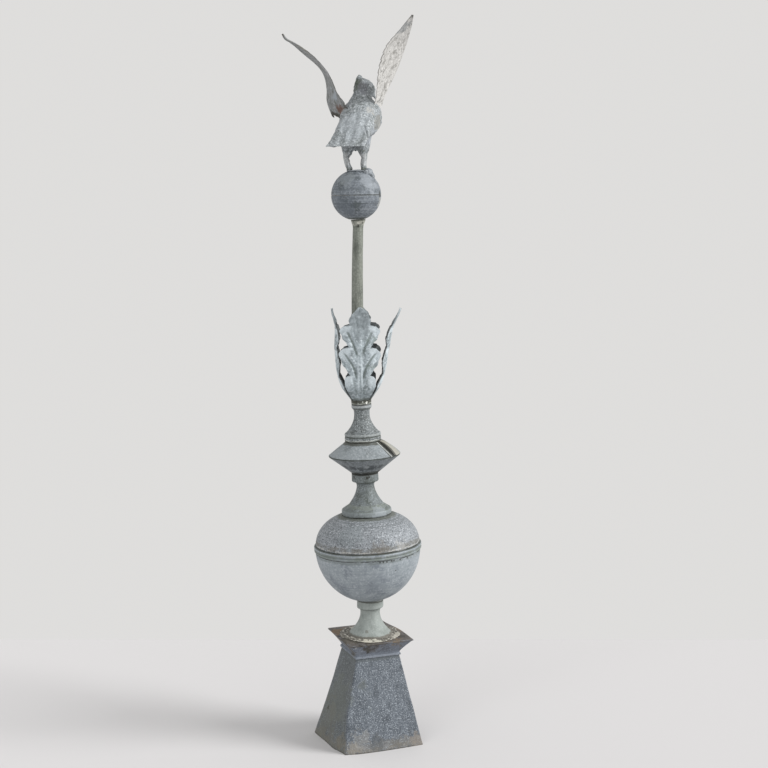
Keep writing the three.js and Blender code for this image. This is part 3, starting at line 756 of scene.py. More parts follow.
# Double cone
coneValues = {
    "radius": 88,
    "offset": 2,
    "lowerHeight": 44,
    "upperHeight": 34,
    "topRadius": 44.5,
    "edge": 1.5,
    "lapLift": 6,
    "lapAzimuth": -33,
    "lapSpread": 75,
    "lowerZinc": {
        "Base": "#7a8084", "Dark": "#424749", "Pale": "#a9afb2",
        "Mottle": 0.7, "Mottle Size": 20, "Speckle": 0.5, "Speckle Size": 3.6,
        "Streak": 0.4, "Pits": 0.4, "Bump": 0.9,
    },
    "upperZinc": {
        "Base": "#8a9195", "Dark": "#696f72", "Pale": "#b0b6b9",
        "Mottle": 0.65, "Mottle Size": 26, "Speckle": 0.45, "Speckle Size": 3.8, "Bump": 0.8,
    },
    "edgeZinc": {"Base": "#b9bdbb", "Dark": "#8f9492", "Pale": "#dcdedb", "Mottle": 0.4, "Mottle Size": 10},
}
seats["biconeLower"] = seats["middleNeck"] + middleNeckValues["height"] + fit
seats["biconeUpper"] = seats["biconeLower"] + coneValues["lowerHeight"] + fit
seats["upperNeck"] = seats["biconeUpper"] + coneValues["upperHeight"] + fit


def makeBiconeLower():
    v = coneValues
    place = stackFrame @ shifted(v["offset"], 0, seats["biconeLower"])
    foot, rim = middleNeckValues["collarRadius"], v["radius"] - 1
    top = v["lowerHeight"] - v["edge"]
    sides = [(mix(foot, rim, i / 12), mix(0, top, i / 12)) for i in range(13)]
    sides.append((v["radius"], v["lowerHeight"]))
    material = zinc(
        "lowerConeZinc",
        place,
        v["lowerZinc"],
        bands=[
            # dark ragged line at the foot, deepened as painted shade under the cone's overhang
            (4, 4.0, 9, 0.5, "#3a3c36", 0.85),
            (0.6, 2.0, 2.0, 0.15, "#1d1e19", 0.95),
            (v["lowerHeight"] - 0.5, 1.2, 1, 0.4, "#52574f", 0.6),
        ],
        blotches=[
            ((-46, -36, 20), 10, 1.8, "#3e4346", 0.75),
            ((-27, -50, 22), 11, 1.8, "#3e4346", 0.8),
            ((-8, -54, 19), 11, 1.8, "#3e4346", 0.75),
            ((18, -54, 21), 12, 1.8, "#3e4346", 0.8),
            ((38, -44, 20), 11, 1.8, "#3e4346", 0.75),
            ((4, -60, 26), 8, 1.8, "#a0a5a8", 0.5),
            ((-36, -44, 28), 8, 1.8, "#a0a5a8", 0.4),
        ],
    )
    mesh = turnedMesh(closed(sides), material, sides=128, dentDepth=1.2, seed=5)
    return finishPiece("biconeLower", mesh, place, material, ["bicone_lower"])


def makeBiconeUpper():  # its sheet laps over itself, and the lap has sprung open
    v = coneValues
    place = stackFrame @ shifted(v["offset"], 0, seats["biconeUpper"])
    material = zinc(
        "upperConeZinc",
        place,
        v["upperZinc"],
        bands=[
            (v["upperHeight"] - 2, 3.6, 6, 0.25, "#44453c", 0.85),
            (0.6, 1.5, 1.4, 0.4, "#454946", 0.8),
        ],
        # The gap mark is painted shadow: dark in the step under the sprung free edge of the lap.
        marks=[("lap", "#a29f94", 0.8), ("gap", "#3e3e39", 0.9)],
    )
    rows, sides = 16, 180
    points, faces = [], []
    for i in range(rows + 1):
        t = i / rows
        for j in range(sides + 1):  # one turn, from the free edge round to where it laps under itself
            past = 360 * j / sides
            angle = math.radians(v["lapAzimuth"] + past)
            lifted = 1 - smooth(past / v["lapSpread"]) if past < v["lapSpread"] else 0
            lifted *= math.sin(math.pi * min(max(t, 0.02), 0.985)) ** 0.5
            radius = mix(v["radius"] - 0.4, v["topRadius"], t) + v["lapLift"] * 0.6 * lifted
            height = mix(v["edge"] * 0.5, v["upperHeight"], t) + v["lapLift"] * 0.8 * lifted
            radius -= abs(0.5 * grain((radius * math.cos(angle), radius * math.sin(angle), height), 30, 5))
            points.append((radius * math.cos(angle), radius * math.sin(angle), height))
    width = sides + 1
    for i in range(rows):
        for j in range(sides):
            a = i * width + j
            faces.append((a, a + 1, a + 1 + width, a + width))
    for i in range(rows):  # the wall of the step under the free edge
        a, b = i * width, i * width + sides
        faces.append((a, a + width, b + width, b))
    for row, height in ((0, 0.0), (rows, v["upperHeight"])):
        centre = len(points)
        points.append((0, 0, height))
        faces += [(row * width + j, row * width + (j + 1), centre) for j in range(sides)]
    mesh = meshOf(points, faces)
    turns = [360 * (k % width) / sides for k in range(width * (rows + 1))]
    lap = [1 - smooth(past, 14, 46) for past in turns]
    # painted shadow along the step under the free edge
    gap = [max(smooth(past, 348, 351), smooth(past, 7, 4)) for past in turns]
    paintMask(mesh, "lap", lap + [0, 0])
    paintMask(mesh, "gap", gap + [0, 0])
    return finishPiece("biconeUpper", mesh, place, material, ["bicone_upper"])


def makeLapSeam():  # the pale turned edge of the sheet beside the sprung lap
    v = coneValues
    place = stackFrame @ shifted(v["offset"], 0, seats["biconeUpper"])
    bright = zinc("bareEdge", place, v["edgeZinc"])
    rows = 24
    points, faces = [], []
    for i in range(rows + 1):
        t = i / rows
        radius = mix(v["radius"] - 0.6, v["topRadius"] + 1, t)
        height = mix(v["edge"] * 0.5, v["upperHeight"] - 0.6, t)
        lift = 1.2 + 0.5 * math.sin(math.pi * t)
        for degrees, up in ((-12.6, 0.0), (-12.2, lift), (-10.0, lift), (-9.6, 0.0)):
            spread = math.radians(v["lapAzimuth"] + degrees * v["radius"] / radius * 0.6)
            sunk = 0.8 if up == 0 else 0
            out = radius + up * 0.5 - sunk
            points.append((out * math.cos(spread), out * math.sin(spread), height + up * 0.8 - sunk))
    for i in range(rows):
        for j in range(4):
            a, b = i * 4 + j, i * 4 + (j + 1) % 4
            faces.append((a, b, b + 4, a + 4))
    faces += [(3, 2, 1, 0), tuple(rows * 4 + j for j in range(4))]
    return finishPiece("lapEdge", meshOf(points, faces), place, bright, [])


# Upper neck
upperNeckValues = {
    "height": 102,
    "footHeight": 20.5,
    "groove": 2,
    "waistRadius": 19,
    "waistHeight": 66,
    "collarRadius": 24.8,
    "collarHeight": 20,
    "zinc": {
        "Base": "#6f7577", "Dark": "#363b39", "Pale": "#b0b5b7",
        "Mottle": 0.6, "Mottle Size": 18, "Speckle": 0.85, "Speckle Size": 3, "Pits": 0.4, "Bump": 1.0,
    },
}


def makeUpperNeck():
    v = upperNeckValues
    place = stackFrame @ shifted(0, 0, seats["upperNeck"])
    foot = coneValues["topRadius"]
    grooveAt = v["footHeight"] * 0.62
    collarFrom = v["height"] - v["collarHeight"]
    profile = [
        (foot, 0),
        (foot, grooveAt - v["groove"]),
        (foot - v["groove"], grooveAt),
        (foot, grooveAt + v["groove"]),
        (foot - 0.3, v["footHeight"] - 1.5),
        (foot - 1.6, v["footHeight"]),
        *coved(foot - 4, v["footHeight"] + 1, v["waistRadius"], v["waistHeight"], 2, 22),
        (v["waistRadius"] + 0.3, collarFrom - 7),
        (v["waistRadius"] + 2.4, collarFrom - 3),
        (v["collarRadius"] - 0.8, collarFrom - 0.3),
        (v["collarRadius"], collarFrom + 1.5),
        (v["collarRadius"] - 0.6, collarFrom + 9),
        (v["collarRadius"], v["height"]),
    ]
    material = zinc(
        "upperNeckZinc",
        place,
        v["zinc"],
        bands=[
            (grooveAt, 1.6, 1.2, 0.2, "#4f544e", 0.85),
            (v["footHeight"] - 3, 3.2, 2, 0.4, "#9ba1a1", 0.6),
            (1.6, 3.0, 7, 0.4, "#44453c", 0.85),
            (0.0, 1.5, 1.6, 0.25, "#24251f", 0.95),
            (5, 1.4, 6, 0.85, "#c4c8c4", 0.7),
            (collarFrom - 2, 1.4, 1.4, 0.3, "#555a52", 0.7),
            (collarFrom + 4, 3.0, 3.0, 0.3, "#a3a8a9", 0.7),
            (v["height"] - 5, 7.0, 6, 0.1, "#3f4138", 0.97),
            (v["height"] - 8, 1.4, 10, 0.9, "#aeb1a9", 0.7),
            (v["height"] - 12, 1.2, 5, 0.4, "#2c2d27", 0.8),
        ],
        blotches=[
            ((14, -21, v["height"] - 6), 3.4, 1.4, "#d8dad4", 0.9),
            ((4, -25, v["height"] - 4), 2.2, 1.4, "#c8cbc6", 0.8),
            ((-12, -22, v["height"] - 3), 3.4, 1.4, "#33342c", 0.8),
        ],
    )
    mesh = turnedMesh(closed(profile), material, dentDepth=0.8, dentSize=30, seed=6)
    return finishPiece("upperNeck", mesh, place, material, ["upper_neck"])


# Stem
stemValues = {
    "radius": 16,
    "topRadius": 12.6,
    "ferruleHeight": 22,
    "zinc": {
        "Base": "#797d75", "Dark": "#4b5049", "Pale": "#a2a69e",
        "Mottle": 0.6, "Mottle Size": 30, "Speckle": 0.4, "Streak": 0.8, "Pits": 0.2,
    },
}
stemSeat = seats["upperNeck"] + upperNeckValues["height"] + fit


def stemShift(height):
    t = min(max(height / stackValues["stemLength"], 0), 1)
    straight = stackValues["stemBowFrom"]
    return stackValues["stemBow"] * (max(t - straight, 0) / (1 - straight)) ** 1.5


def makeStem():
    v = stemValues
    place = stackFrame @ shifted(0, 0, stemSeat)
    length = stackValues["stemLength"]
    ferruleFrom = length - v["ferruleHeight"]
    top = stackValues["ferruleRadius"]
    profile = [(mix(v["radius"], v["topRadius"], i / 50), ferruleFrom * i / 50) for i in range(51)]
    profile += [
        (v["topRadius"] + 0.2, ferruleFrom + v["ferruleHeight"] * 0.22),
        (mix(v["topRadius"], top, 0.18), ferruleFrom + v["ferruleHeight"] * 0.4),
        (mix(v["topRadius"], top, 0.5), ferruleFrom + v["ferruleHeight"] * 0.6),
        (mix(v["topRadius"], top, 0.8), ferruleFrom + v["ferruleHeight"] * 0.8),
        (top, length),
    ]
    material = zinc(
        "stemZinc",
        place,
        v["zinc"],
        bands=[
            (length - 1.5, 3, 5, 0.2, "#4a4d45", 0.85),
            (length - v["ferruleHeight"] * 0.8, 1.2, 1.6, 0.4, "#5a5f57", 0.6),
            (60, 22, 30, 0.9, "#666c64", 0.35),
            (length - 8, 6, 10, 0.9, "#b9b8ae", 0.6),
        ],
        blotches=[
            ((1, -15, length - 12), 4.5, 1.4, "#23241f", 0.9),
            ((12, -14, length - 15), 4, 1.4, "#2b2c26", 0.85),
            ((24, -12, length - 9), 3.6, 1.4, "#2e2f29", 0.8),
            ((12, -16, length - 8), 4, 1.4, "#c6c5bb", 0.8),
        ],
    )
    mesh = turnedMesh(closed(profile), material, sides=64, dentDepth=0.8, dentSize=45, seed=7)
    for vertex in mesh.vertices:
        vertex.co.x += stemShift(vertex.co.z)
    return finishPiece("stemTube", mesh, place, material, ["stem_tube"])


# Leaves
leafValues = {
    "height": 224,
    "halfWidth": 51,
    "thickness": 2,
    "footRadius": 21,
    "rib": 5,
    "swell": 5,
    "droop": 0.05,
    "skewedDroop": 0.05,
    "rounding": 0.24,
    "flare": 2.5,
    "veinDepth": 3.4,
    "columns": 60,
    "zinc": {
        "Base": "#a6b1b6", "Dark": "#6c7578", "Pale": "#d3dce1",
        "Mottle": 0.8, "Mottle Size": 18, "Speckle": 0.75, "Speckle Size": 6, "Bump": 1.0,
    },
}
leafFoot = leafValues["footRadius"] - leafValues["thickness"] - 2 * fit
leafLobes = [
    {"from": 0, "to": 0.283, "inner": leafFoot / leafValues["halfWidth"], "outer": 0.73, "rows": 26},
    {"from": 0.283, "to": 0.578, "inner": 0.43, "outer": 1, "rows": 30},
    {"from": 0.578, "to": 0.81, "inner": 0.46, "outer": 0.96, "rows": 28},
    {"from": 0.81, "to": 1, "inner": 0.46, "outer": 0.55, "rows": 22},
]
# For each leaf: its solid, turn, stretch, sway, cupping, and how far out it stands up its height.
leafPoses = {
    "leafFront": ("leaf_front", -90, 1.02, 8, 1, [(0, 21), (0.21, 45), (0.55, 52), (0.8, 50), (1, 60)]),
    "leafRight": ("leaf_right", 0, 0.97, 0, 5, [(0, 21), (0.21, 50), (0.55, 68), (0.8, 82), (1, 108)]),
    "leafBack": ("leaf_back", 90, 1, -6, 1, [(0, 21), (0.21, 45), (0.55, 54), (0.8, 56), (1, 66)]),
    "leafLeft": ("leaf_left", 180, 1, 0, 5, [(0, 21), (0.21, 47), (0.55, 54), (0.8, 52), (1, 64)]),
}
# Veins as (from side, from height, to side, to height, bend, width, depth), sides counted from the rib.
leafVeins = [
    (0, -20, 0.5, 70, 1.0, 2.0, 0.5),
    (5, 104, 29, 166, 1.3, 4.2, 1.0),
    (8, 48, 37, 116, 2.0, 3.6, 1.0),
    (6, -4, 18, 56, 1.6, 3.4, 0.6),
    (22, 74, 45, 100, 1.2, 3.0, 0.45),
    (22, 128, 43, 154, 1.1, 3.2, 0.4),
    (4, 168, 13, 208, 1.2, 3.0, 0.4),
    (9, 120, 16, 176, 1.6, 2.6, 0.4),
]


def veinAt(side, up):  # how deep in a vein a place on the leaf is, from 0 to 1
    deepest = 0
    for fromSide, fromUp, toSide, toUp, bend, width, depth in leafVeins:
        t = (up - fromUp) / (toUp - fromUp)
        if -0.1 < t < 1.1:
            middle = fromSide + (toSide - fromSide) * max(t, 0) ** bend
            ends = smooth(t, -0.1, 0.25) * smooth(t, 1.1, 0.95)
            deepest = max(deepest, depth * ends * math.exp(-(((side - middle) / width) ** 2)))
    return deepest


def leafRows():  # height share, half width share, place in the lobe, and the lobe
    v = leafValues
    rows = []
    for index, lobe in enumerate(leafLobes):
        for i in range(lobe["rows"] + 1):
            t = i / lobe["rows"]
            swell = min(t / 0.6, 1) ** 0.85 - v["rounding"] * smooth(t, 0.88, 1)
            half = mix(lobe["inner"], lobe["outer"], swell)
            half *= 1 - 0.045 * (1 - math.cos(2 * math.pi * 2.6 * t)) * smooth(t, 0.1, 0.3) * (index > 0)
            if index == len(leafLobes) - 1:
                bulge = 0.25 * math.sin(math.pi * t ** 0.8) * lobe["outer"]
                half = mix(lobe["inner"], 0.05, t ** 1.6) + bulge
                half *= 1 - 0.09 * (1 - abs(math.cos(math.pi * 3.2 * t))) * smooth(1 - t, 0, 0.2)
            slit = 0.008 if i == 0 and index else 0
            rows.append((mix(lobe["from"], lobe["to"], t) + slit, half, t, index))
    return rows


def makeLeaf(name, solid, azimuth, stretch, sway, cup, stations):
    v = leafValues
    height = v["height"] * stretch
    rows = leafRows()
    columns = v["columns"]
    place = stackFrame @ shifted(0, 0, stemSeat) @ turnedBy(azimuth, "Z")
    seed = azimuth / 7.0
    tip = len(leafLobes) - 1

    def relief(row, side, rise):
        rise0, half, t, index = row
        fade = smooth(1 - rise0, 0, 0.3)
        rib = v["rib"] * math.exp(-((side / 6) ** 2)) * fade
        spread = abs(side) / v["halfWidth"]
        swell = v["swell"] * math.sin(math.pi * min(spread * 1.3, 1)) * smooth(rise0, 0, 0.15)
        vein = v["veinDepth"] * veinAt(abs(side), rise0 * v["height"]) * smooth(rise0, 0, 0.08)
        share = abs(side) / max(half * v["halfWidth"], 1)
        curl = v["flare"] * smooth(t, 0.6, 1) * smooth(share, 0.4, 1) * (index < tip)
        cupped = cup * min(share, 1) ** 2 * smooth(rise0, 0, 0.2)
        where = (side, rise * height, seed)
        rough = 0.5 * grain(where, 9, 31) + 0.25 * grain(where, 4, 32)
        return rib + swell - vein + curl - cupped + rough * smooth(rise0, 0.02, 0.1)

    def pointAt(row, j, depth):
        rise0, half, t, index = row
        across = 2 * j / columns - 1
        side = math.copysign(abs(across) ** 0.9, across) * half * v["halfWidth"]
        droop = v["droop"] + math.copysign(v["skewedDroop"], side)
        droop *= smooth(rise0, 0, 0.2) * smooth(1 - rise0, 0, 0.12)
        rise = max(rise0 - droop * abs(side) / height, 0)
        scallop = 1.3 * (1 - abs(math.cos(abs(side) / 8.5 + 0.6))) * smooth(t, 0.8, 1) * (index < tip)
        rise = max(rise - scallop / height, 0)
        radial = along(stations, rise)
        slope = (along(stations, rise + 0.01) - along(stations, rise - 0.01)) / (0.02 * height)
        out = relief(row, side, rise) - depth
        length = math.hypot(1, slope)
        z = rise * height - (out * slope) / length * smooth(rise, 0, 0.05)
        return (radial + out / length, side + sway * rise ** 1.5, max(z, 0))

    width = columns + 1
    layer = len(rows) * width
    points = [pointAt(row, j, depth) for depth in (0, v["thickness"]) for row in rows for j in range(width)]
    mesh = meshOf(points, sheetFaces(len(rows) - 1, columns))
    # The rim mask is painted shade: dark edges on the side leaves, a dark line on the lobe tops, and a darker
    # inner face below the top.
    edgeOn = cup > 3  # the side leaves show their dark edges
    rim, valleyShade, ridgeHighlight = [], [], []
    for k in range(len(points)):
        rise0, half, t, index = rows[(k % layer) // width]
        across = abs(2 * (k % width) / columns - 1)
        side = across ** 0.9 * half * v["halfWidth"]
        topEdge = 0.64 * smooth(t, 0.97, 1) * smooth(across, 0.3, 0.6) * (index < tip)
        inner = 0.85 * smooth(rise0, 0.9, 0.8) if k >= layer else 0.0
        edge = (0.9 if edgeOn else 0.45) * smooth(across, 0.9 if edgeOn else 0.97, 1)
        edge *= smooth(rise0, 1.05, 0.8)
        rim.append(max(edge, topEdge, inner))
        # Painted shade in the veins, and a painted highlight on the lobes' outer parts and beside the rib.
        valleyShade.append(veinAt(side, rise0 * v["height"]) * smooth(rise0, 0, 0.1))
        outward = smooth(t, 0.2, 0.9) * smooth(across, 0.2, 0.6) * (index < tip)
        besideRib = math.exp(-(((side - 4.5) / 3) ** 2)) * smooth(rise0, 0.75, 0.35)
        ridgeHighlight.append(max(0.9 * outward, 0.8 * besideRib) * smooth(rise0, 0.04, 0.2))
    for mask, values in (("rim", rim), ("valleyShade", valleyShade), ("ridgeHighlight", ridgeHighlight)):
        paintMask(mesh, mask, values)
    return finishPiece(name, mesh, place, leafZinc, [solid])


leafZinc = zinc(
    "leafZinc",
    stackFrame @ shifted(0, 0, stemSeat),
    leafValues["zinc"],
    bands=[
        (2, 4, 8, 0.4, "#50544d", 0.8),
        (14, 16, 20, 0.6, "#6b7374", 0.35),
        (202, 24, 30, 0.5, "#848c90", 0.6),
    ],
    blotches=[
        ((6, -50, 168), 26, 1.6, "#868e92", 0.55),
        ((34, -46, 150), 14, 1.8, "#7d8885", 0.55),
        ((28, -46, 84), 12, 1.8, "#808c88", 0.5),
    ],
    # Painted highlight on the ridges, painted shade in the veins, and painted shade on the edges and inner
    # faces.
    marks=[("ridgeHighlight", "#d2dce1", 0.78), ("valleyShade", "#69736f", 0.75), ("rim", "#333533", 0.9)],
)


# Top ball
def crownMatrix():
    v = stackValues
    flat = math.sqrt(v["topBallRadius"] ** 2 - v["ferruleRadius"] ** 2)
    wedge = v["ferruleRadius"] * math.sin(math.radians(v["topBallTurn"]))
    up = stemSeat + stackValues["stemLength"] + fit + wedge + flat
    return stackFrame @ shifted(v["stemBow"] + v["topBallOffset"], 0, up) @ turnedBy(v["topBallTurn"], "Y")


crownFrame = crownMatrix()
birdTurn = turnedBy(stackValues["lean"] - stackValues["topBallTurn"], "Y")
birdFrame = crownFrame @ birdTurn @ shifted(0, 0, stackValues["topBallRadius"])
topBallValues = {
    "groove": 0.9,
    "birdSeat": 12,  # radius of the flat that the bird stands on
    "zinc": {
        "Base": "#6e757d", "Dark": "#495053", "Pale": "#9ba1a7",
        "Mottle": 0.7, "Mottle Size": 26, "Speckle": 0.5, "Speckle Size": 4.4,
        "Pits": 0.3, "Rings": 0.3, "Bump": 0.9,
    },
}


def makeTopBallHalf(name, up, solid, flatRadius):
    radius = stackValues["topBallRadius"]
    groove = topBallValues["groove"]
    flat = math.sqrt(radius ** 2 - flatRadius ** 2)
    curve = [(radius - groove, fit / 2)] + dome(radius, radius, 2, groove * 1.2, flat, 40)
    if not up:
        curve = [(r, -h) for r, h in curve][::-1]
    mesh = turnedMesh(closed(curve), topBallZinc, sides=96, dentDepth=0.9, dentSize=40, seed=8 + up)
    return finishPiece(name, mesh, crownFrame, topBallZinc, [solid])


topBallZinc = zinc(
    "topBallZinc",
    crownFrame,
    topBallValues["zinc"],
    bands=[
        (0, 1.7, 2.2, 0.55, "#3d4342", 0.85),
        (3.4, 1.2, 3, 0.9, "#8f969a", 0.4),
        (14, 1.0, 0.6, 0.7, "#52595c", 0.6),
        (-20, 1.2, 0.8, 0.7, "#454b4e", 0.6),
        (-56, 4, 5, 0.3, "#4b4f4a", 0.7),
    ],
    blotches=[
        ((30, -34, 34), 34, 2.2, "#989ea4", 0.45),
        ((-20, -40, 44), 22, 2.2, "#90979a", 0.4),
        ((55, -18, 0), 9, 1.4, "#2f3331", 0.8),
        ((58, -10, -18), 14, 1.4, "#a1a39f", 0.6),
        ((2, -52, -24), 12, 1.8, "#454d4c", 0.6),
        ((-26, -48, -26), 30, 1.2, "#545c64", 0.5),
    ],
)


solderValues = {
    "pads": [  # middle and half sizes of each lump
        ((30, -6, 52), (11, 13, 12)),
        ((37, -6, 44), (8, 12, 9)),
        ((24, -14, 52), (9, 9, 8)),
        ((2, -8, 57), (22, 16, 3.4)),
    ],
    "zinc": {
        "Base": "#878d93", "Dark": "#565c5e", "Pale": "#b8bcbf",
        "Mottle": 0.7, "Mottle Size": 12, "Speckle": 0.6, "Speckle Size": 4, "Pits": 0.3,
    },
}


def makeSolderPads():  # lumps of solder beside the bird's feet
    v = solderValues
    material = zinc("solder", crownFrame, v["zinc"])
    for index, (centre, radii) in enumerate(v["pads"]):
        ball = bmesh.new()
        bmesh.ops.create_icosphere(ball, subdivisions=4, radius=1)
        for vertex in ball.verts:
            p = vertex.co.copy()
            out = 1 + 0.16 * grain(p, 0.7, 41 + index) + 0.07 * grain(p, 0.3, 43)
            vertex.co = Vector(centre) + Vector([c * r * out for c, r in zip(p, radii)])
        mesh = bpy.data.meshes.new("pad")
        ball.to_mesh(mesh)
        ball.free()
        finishPiece("solderPad%d" % (index + 1), mesh, crownFrame, material, [], sharp=80)


# Bird
birdValues = {
    "height": 228,
    "voxel": 1.6,
    "smoothing": 9,
    "crotch": 2,  # how far to the left the parting of the legs is
    "crease": ((18, 112), (30, 74)),  # its ends, as seen from behind
    "zinc": {
        "Base": "#8f9599", "Dark": "#4c524f", "Pale": "#d0d5d8",
        "Mottle": 0.5, "Mottle Size": 18, "Speckle": 0.75, "Speckle Size": 3.8,
        "Streak": 0.6, "Pits": 0.7, "Bump": 1.0,
    },
    "rightWingZinc": {
        "Base": "#cdccc9", "Dark": "#7c7b76", "Pale": "#e9e8e5",
        "Mottle": 0.7, "Mottle Size": 15, "Speckle": 0.5, "Speckle Size": 5, "Pits": 0.7, "Bump": 0.9,
    },
    "leftWingZinc": {
        "Base": "#85888a", "Dark": "#54574f", "Pale": "#b6b8b9",
        "Mottle": 0.8, "Mottle Size": 16, "Speckle": 0.6, "Speckle Size": 4, "Pits": 0.4,
    },
}


def creaseAt(p):  # the fold between the back and the right flank, as seen from behind
    (x0, z0), (x1, z1) = birdValues["crease"]
    dx, dz = x1 - x0, z1 - z0
    t = min(max(((p.x - x0) * dx + (p.z - z0) * dz) / (dx ** 2 + dz ** 2), 0), 1)
    gap = math.hypot(p.x - x0 - dx * t, p.z - z0 - dz * t)
    return math.exp(-((gap / 2.6) ** 2)) * smooth(t, 0, 0.35)


def makeBirdBody():
    v = birdValues
    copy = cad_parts["bird_body"].data.copy()
    copy.transform((Matrix.Scale(millimetre, 4) @ birdFrame).inverted())
    merged = bmesh.new()
    merged.from_mesh(copy)
    bmesh.ops.remove_doubles(merged, verts=merged.verts, dist=0.01)
    merged.to_mesh(copy)
    merged.free()
    rough = bpy.data.objects.new("rough", copy)
    bpy.context.scene.collection.objects.link(rough)
    remesh = rough.modifiers.new("remesh", "REMESH")
    remesh.mode = "VOXEL"
    remesh.voxel_size = v["voxel"]
    soften = rough.modifiers.new("soften", "SMOOTH")
    soften.iterations = v["smoothing"]
    soften.factor = 0.5
    mesh = evaluated(rough)
    heading = turnedBy(-stackValues["birdHeading"], "Z")
    normals = [vertex.normal.copy() for vertex in mesh.vertices]
    creaseAndUnderShade = []
    for vertex, normal in zip(mesh.vertices, normals):
        p = heading @ vertex.co  # X forwards, Y to the bird's left
        h = p.z / v["height"]
        lumps = 0.9 * grain(p, 22, 3) + 0.4 * grain(p, 8, 4)
        crestLumps = (1.6 * grain(p, 9, 5) + 0.8 * grain(p, 4.5, 6)) * smooth(h, 0.76, 0.84)
        tail = smooth(p.x, 10, -40) * (0.22 < h < 0.62)
        barbs = 1.1 * math.sin(p.y / 3.6 + 0.6 * grain(p, 30, 7)) * tail
        back = smooth(h, 0.34, 0.45) * smooth(h, 0.75, 0.66)
        rows = 0.4 * math.sin((p.x - p.z) / 5.2 + 1.3 * math.sin(p.y / 6)) * back
        facing = heading.to_3x3() @ normal
        between = smooth(h, 0.09, 0.15) * smooth(h, 0.24, 0.18)
        inner = max(-facing.y * math.copysign(1, p.y - v["crotch"]), 0) * between
        legs = (2.4 + 0.9 * grain(p, 6, 15)) * smooth(h, 0.2, 0.15) * smooth(h, 0.0, 0.05) - 5.5 * inner
        streaks = 0.7 * grain((p.x / 3, p.y, p.z / 3), 4.5, 8) * smooth(h, 0.2, 0.3)
        # Painted shade: darker in the fold of the right flank and on the surfaces that face downwards.
        flank = creaseAt(vertex.co) * (normal.y < 0)
        under = smooth(-normal.z, 0.35, 0.8) * smooth(h, 0.19, 0.22) * smooth(h, 0.5, 0.4)
        creaseAndUnderShade.append(max(flank, under))
        vertex.co += normal * (lumps + crestLumps + barbs + rows + legs + streaks - 1.8 * flank - 0.5)
    paintMask(mesh, "crease", creaseAndUnderShade)
    material = zinc(
        "birdZinc",
        birdFrame,
        v["zinc"],
        # painted shade in the flank's fold and under the body
        marks=[("crease", "#4b4f50", 0.8)],
        bands=[(2, 4, 6, 0.4, "#51564c", 0.8), (24, 16, 20, 0.8, "#c6c8c8", 0.5)],
        blotches=[
            ((-12, 30, 205), 27, 2.2, "#4d5448", 0.75),
            ((-16, 14, 192), 20, 2.0, "#454b40", 0.6),
            ((-10, 6, 200), 9, 2.0, "#a0a69d", 0.5),
            ((18, 30, 196), 20, 0.8, "#77777f", 0.5),
            ((-8, -50, 112), 44, 1.8, "#a9b0b6", 0.4),
            ((34, 0, 84), 34, 1.8, "#a7adb6", 0.35),
            ((62, 0, 112), 26, 1.8, "#77766e", 0.6),
            ((45, -20, 150), 22, 1.3, "#b4b2ac", 0.5),
            ((-42, 26, 142), 22, 1.1, "#6f5b4c", 0.75),
            ((66, 10, 96), 16, 2.0, "#bdbab2", 0.5),
            ((0, -30, 44), 22, 1.8, "#75796f", 0.5),
            ((-16, -22, 10), 9, 1.4, "#5c4a3d", 0.7),
            # a painted shadow in the gap between the right wing and the neck
            ((50, 24, 178), 7, 1.1, "#2b2c29", 0.85),
            ((-84, -66, 54), 16, 1.4, "#c4c8ca", 0.6),
        ],
    )
    return finishPiece("birdBody", mesh, birdFrame, material, ["bird_body"], sharp=60)


# The span runs from root to tip, the chord across it, and the bow is the bend of the span. Every list
# gives values at shares of the span, and the azimuth is the chord's.
wingValues = {"rows": 150, "columns": 44, "thickness": 2.0, "feathers": 14, "relief": 0.55}
wingShapes = {
    "birdWingLeft": {
        "node": "bird_wing_left",
        "root": (-38.1, 39.9, 126.1),
        "tip": (-174, 5.9, 317.6),
        "bow": [
            (0, 4), (0.24, 18), (0.36, 28), (0.46, 32), (0.6, 28), (0.8, 15), (0.88, 7), (0.94, 0), (1, 0),
        ],
        "azimuth": [(0, 130), (0.15, 118), (0.27, 105), (0.5, 100), (0.75, 107), (1, 102)],
        "chordRise": 6,
        "chord": [(0, 78), (0.15, 98), (0.38, 106), (0.61, 100), (0.8, 62), (0.92, 30), (1, 5)],
        "camber": 3,
        "frayed": 15,
    },
    "birdWingRight": {
        "node": "bird_wing_right",
        "root": (52, 40, 150),
        "tip": (134.6, -67, 352),
        "bow": [(0, 0), (0.45, -11), (0.65, -12.4), (0.84, -5.4), (1, 0)],
        "azimuth": [(0, 62), (1, 62)],
        "chordRise": 6,
        "chord": [
            (0, 42), (0.11, 46), (0.22, 66), (0.33, 89), (0.45, 104),
            (0.65, 103), (0.83, 59), (0.92, 34), (1, 5),
        ],
        "camber": -3,
        "frayed": 0,
    },
}


def featherLine(s, t):  # the ridges and furrows of the feathers, from -1 to 1
    return math.sin((t * 1.1 + s * 2.2 + 0.25 * grain((s * 40, t * 12, 0), 6, 2)) * 21)


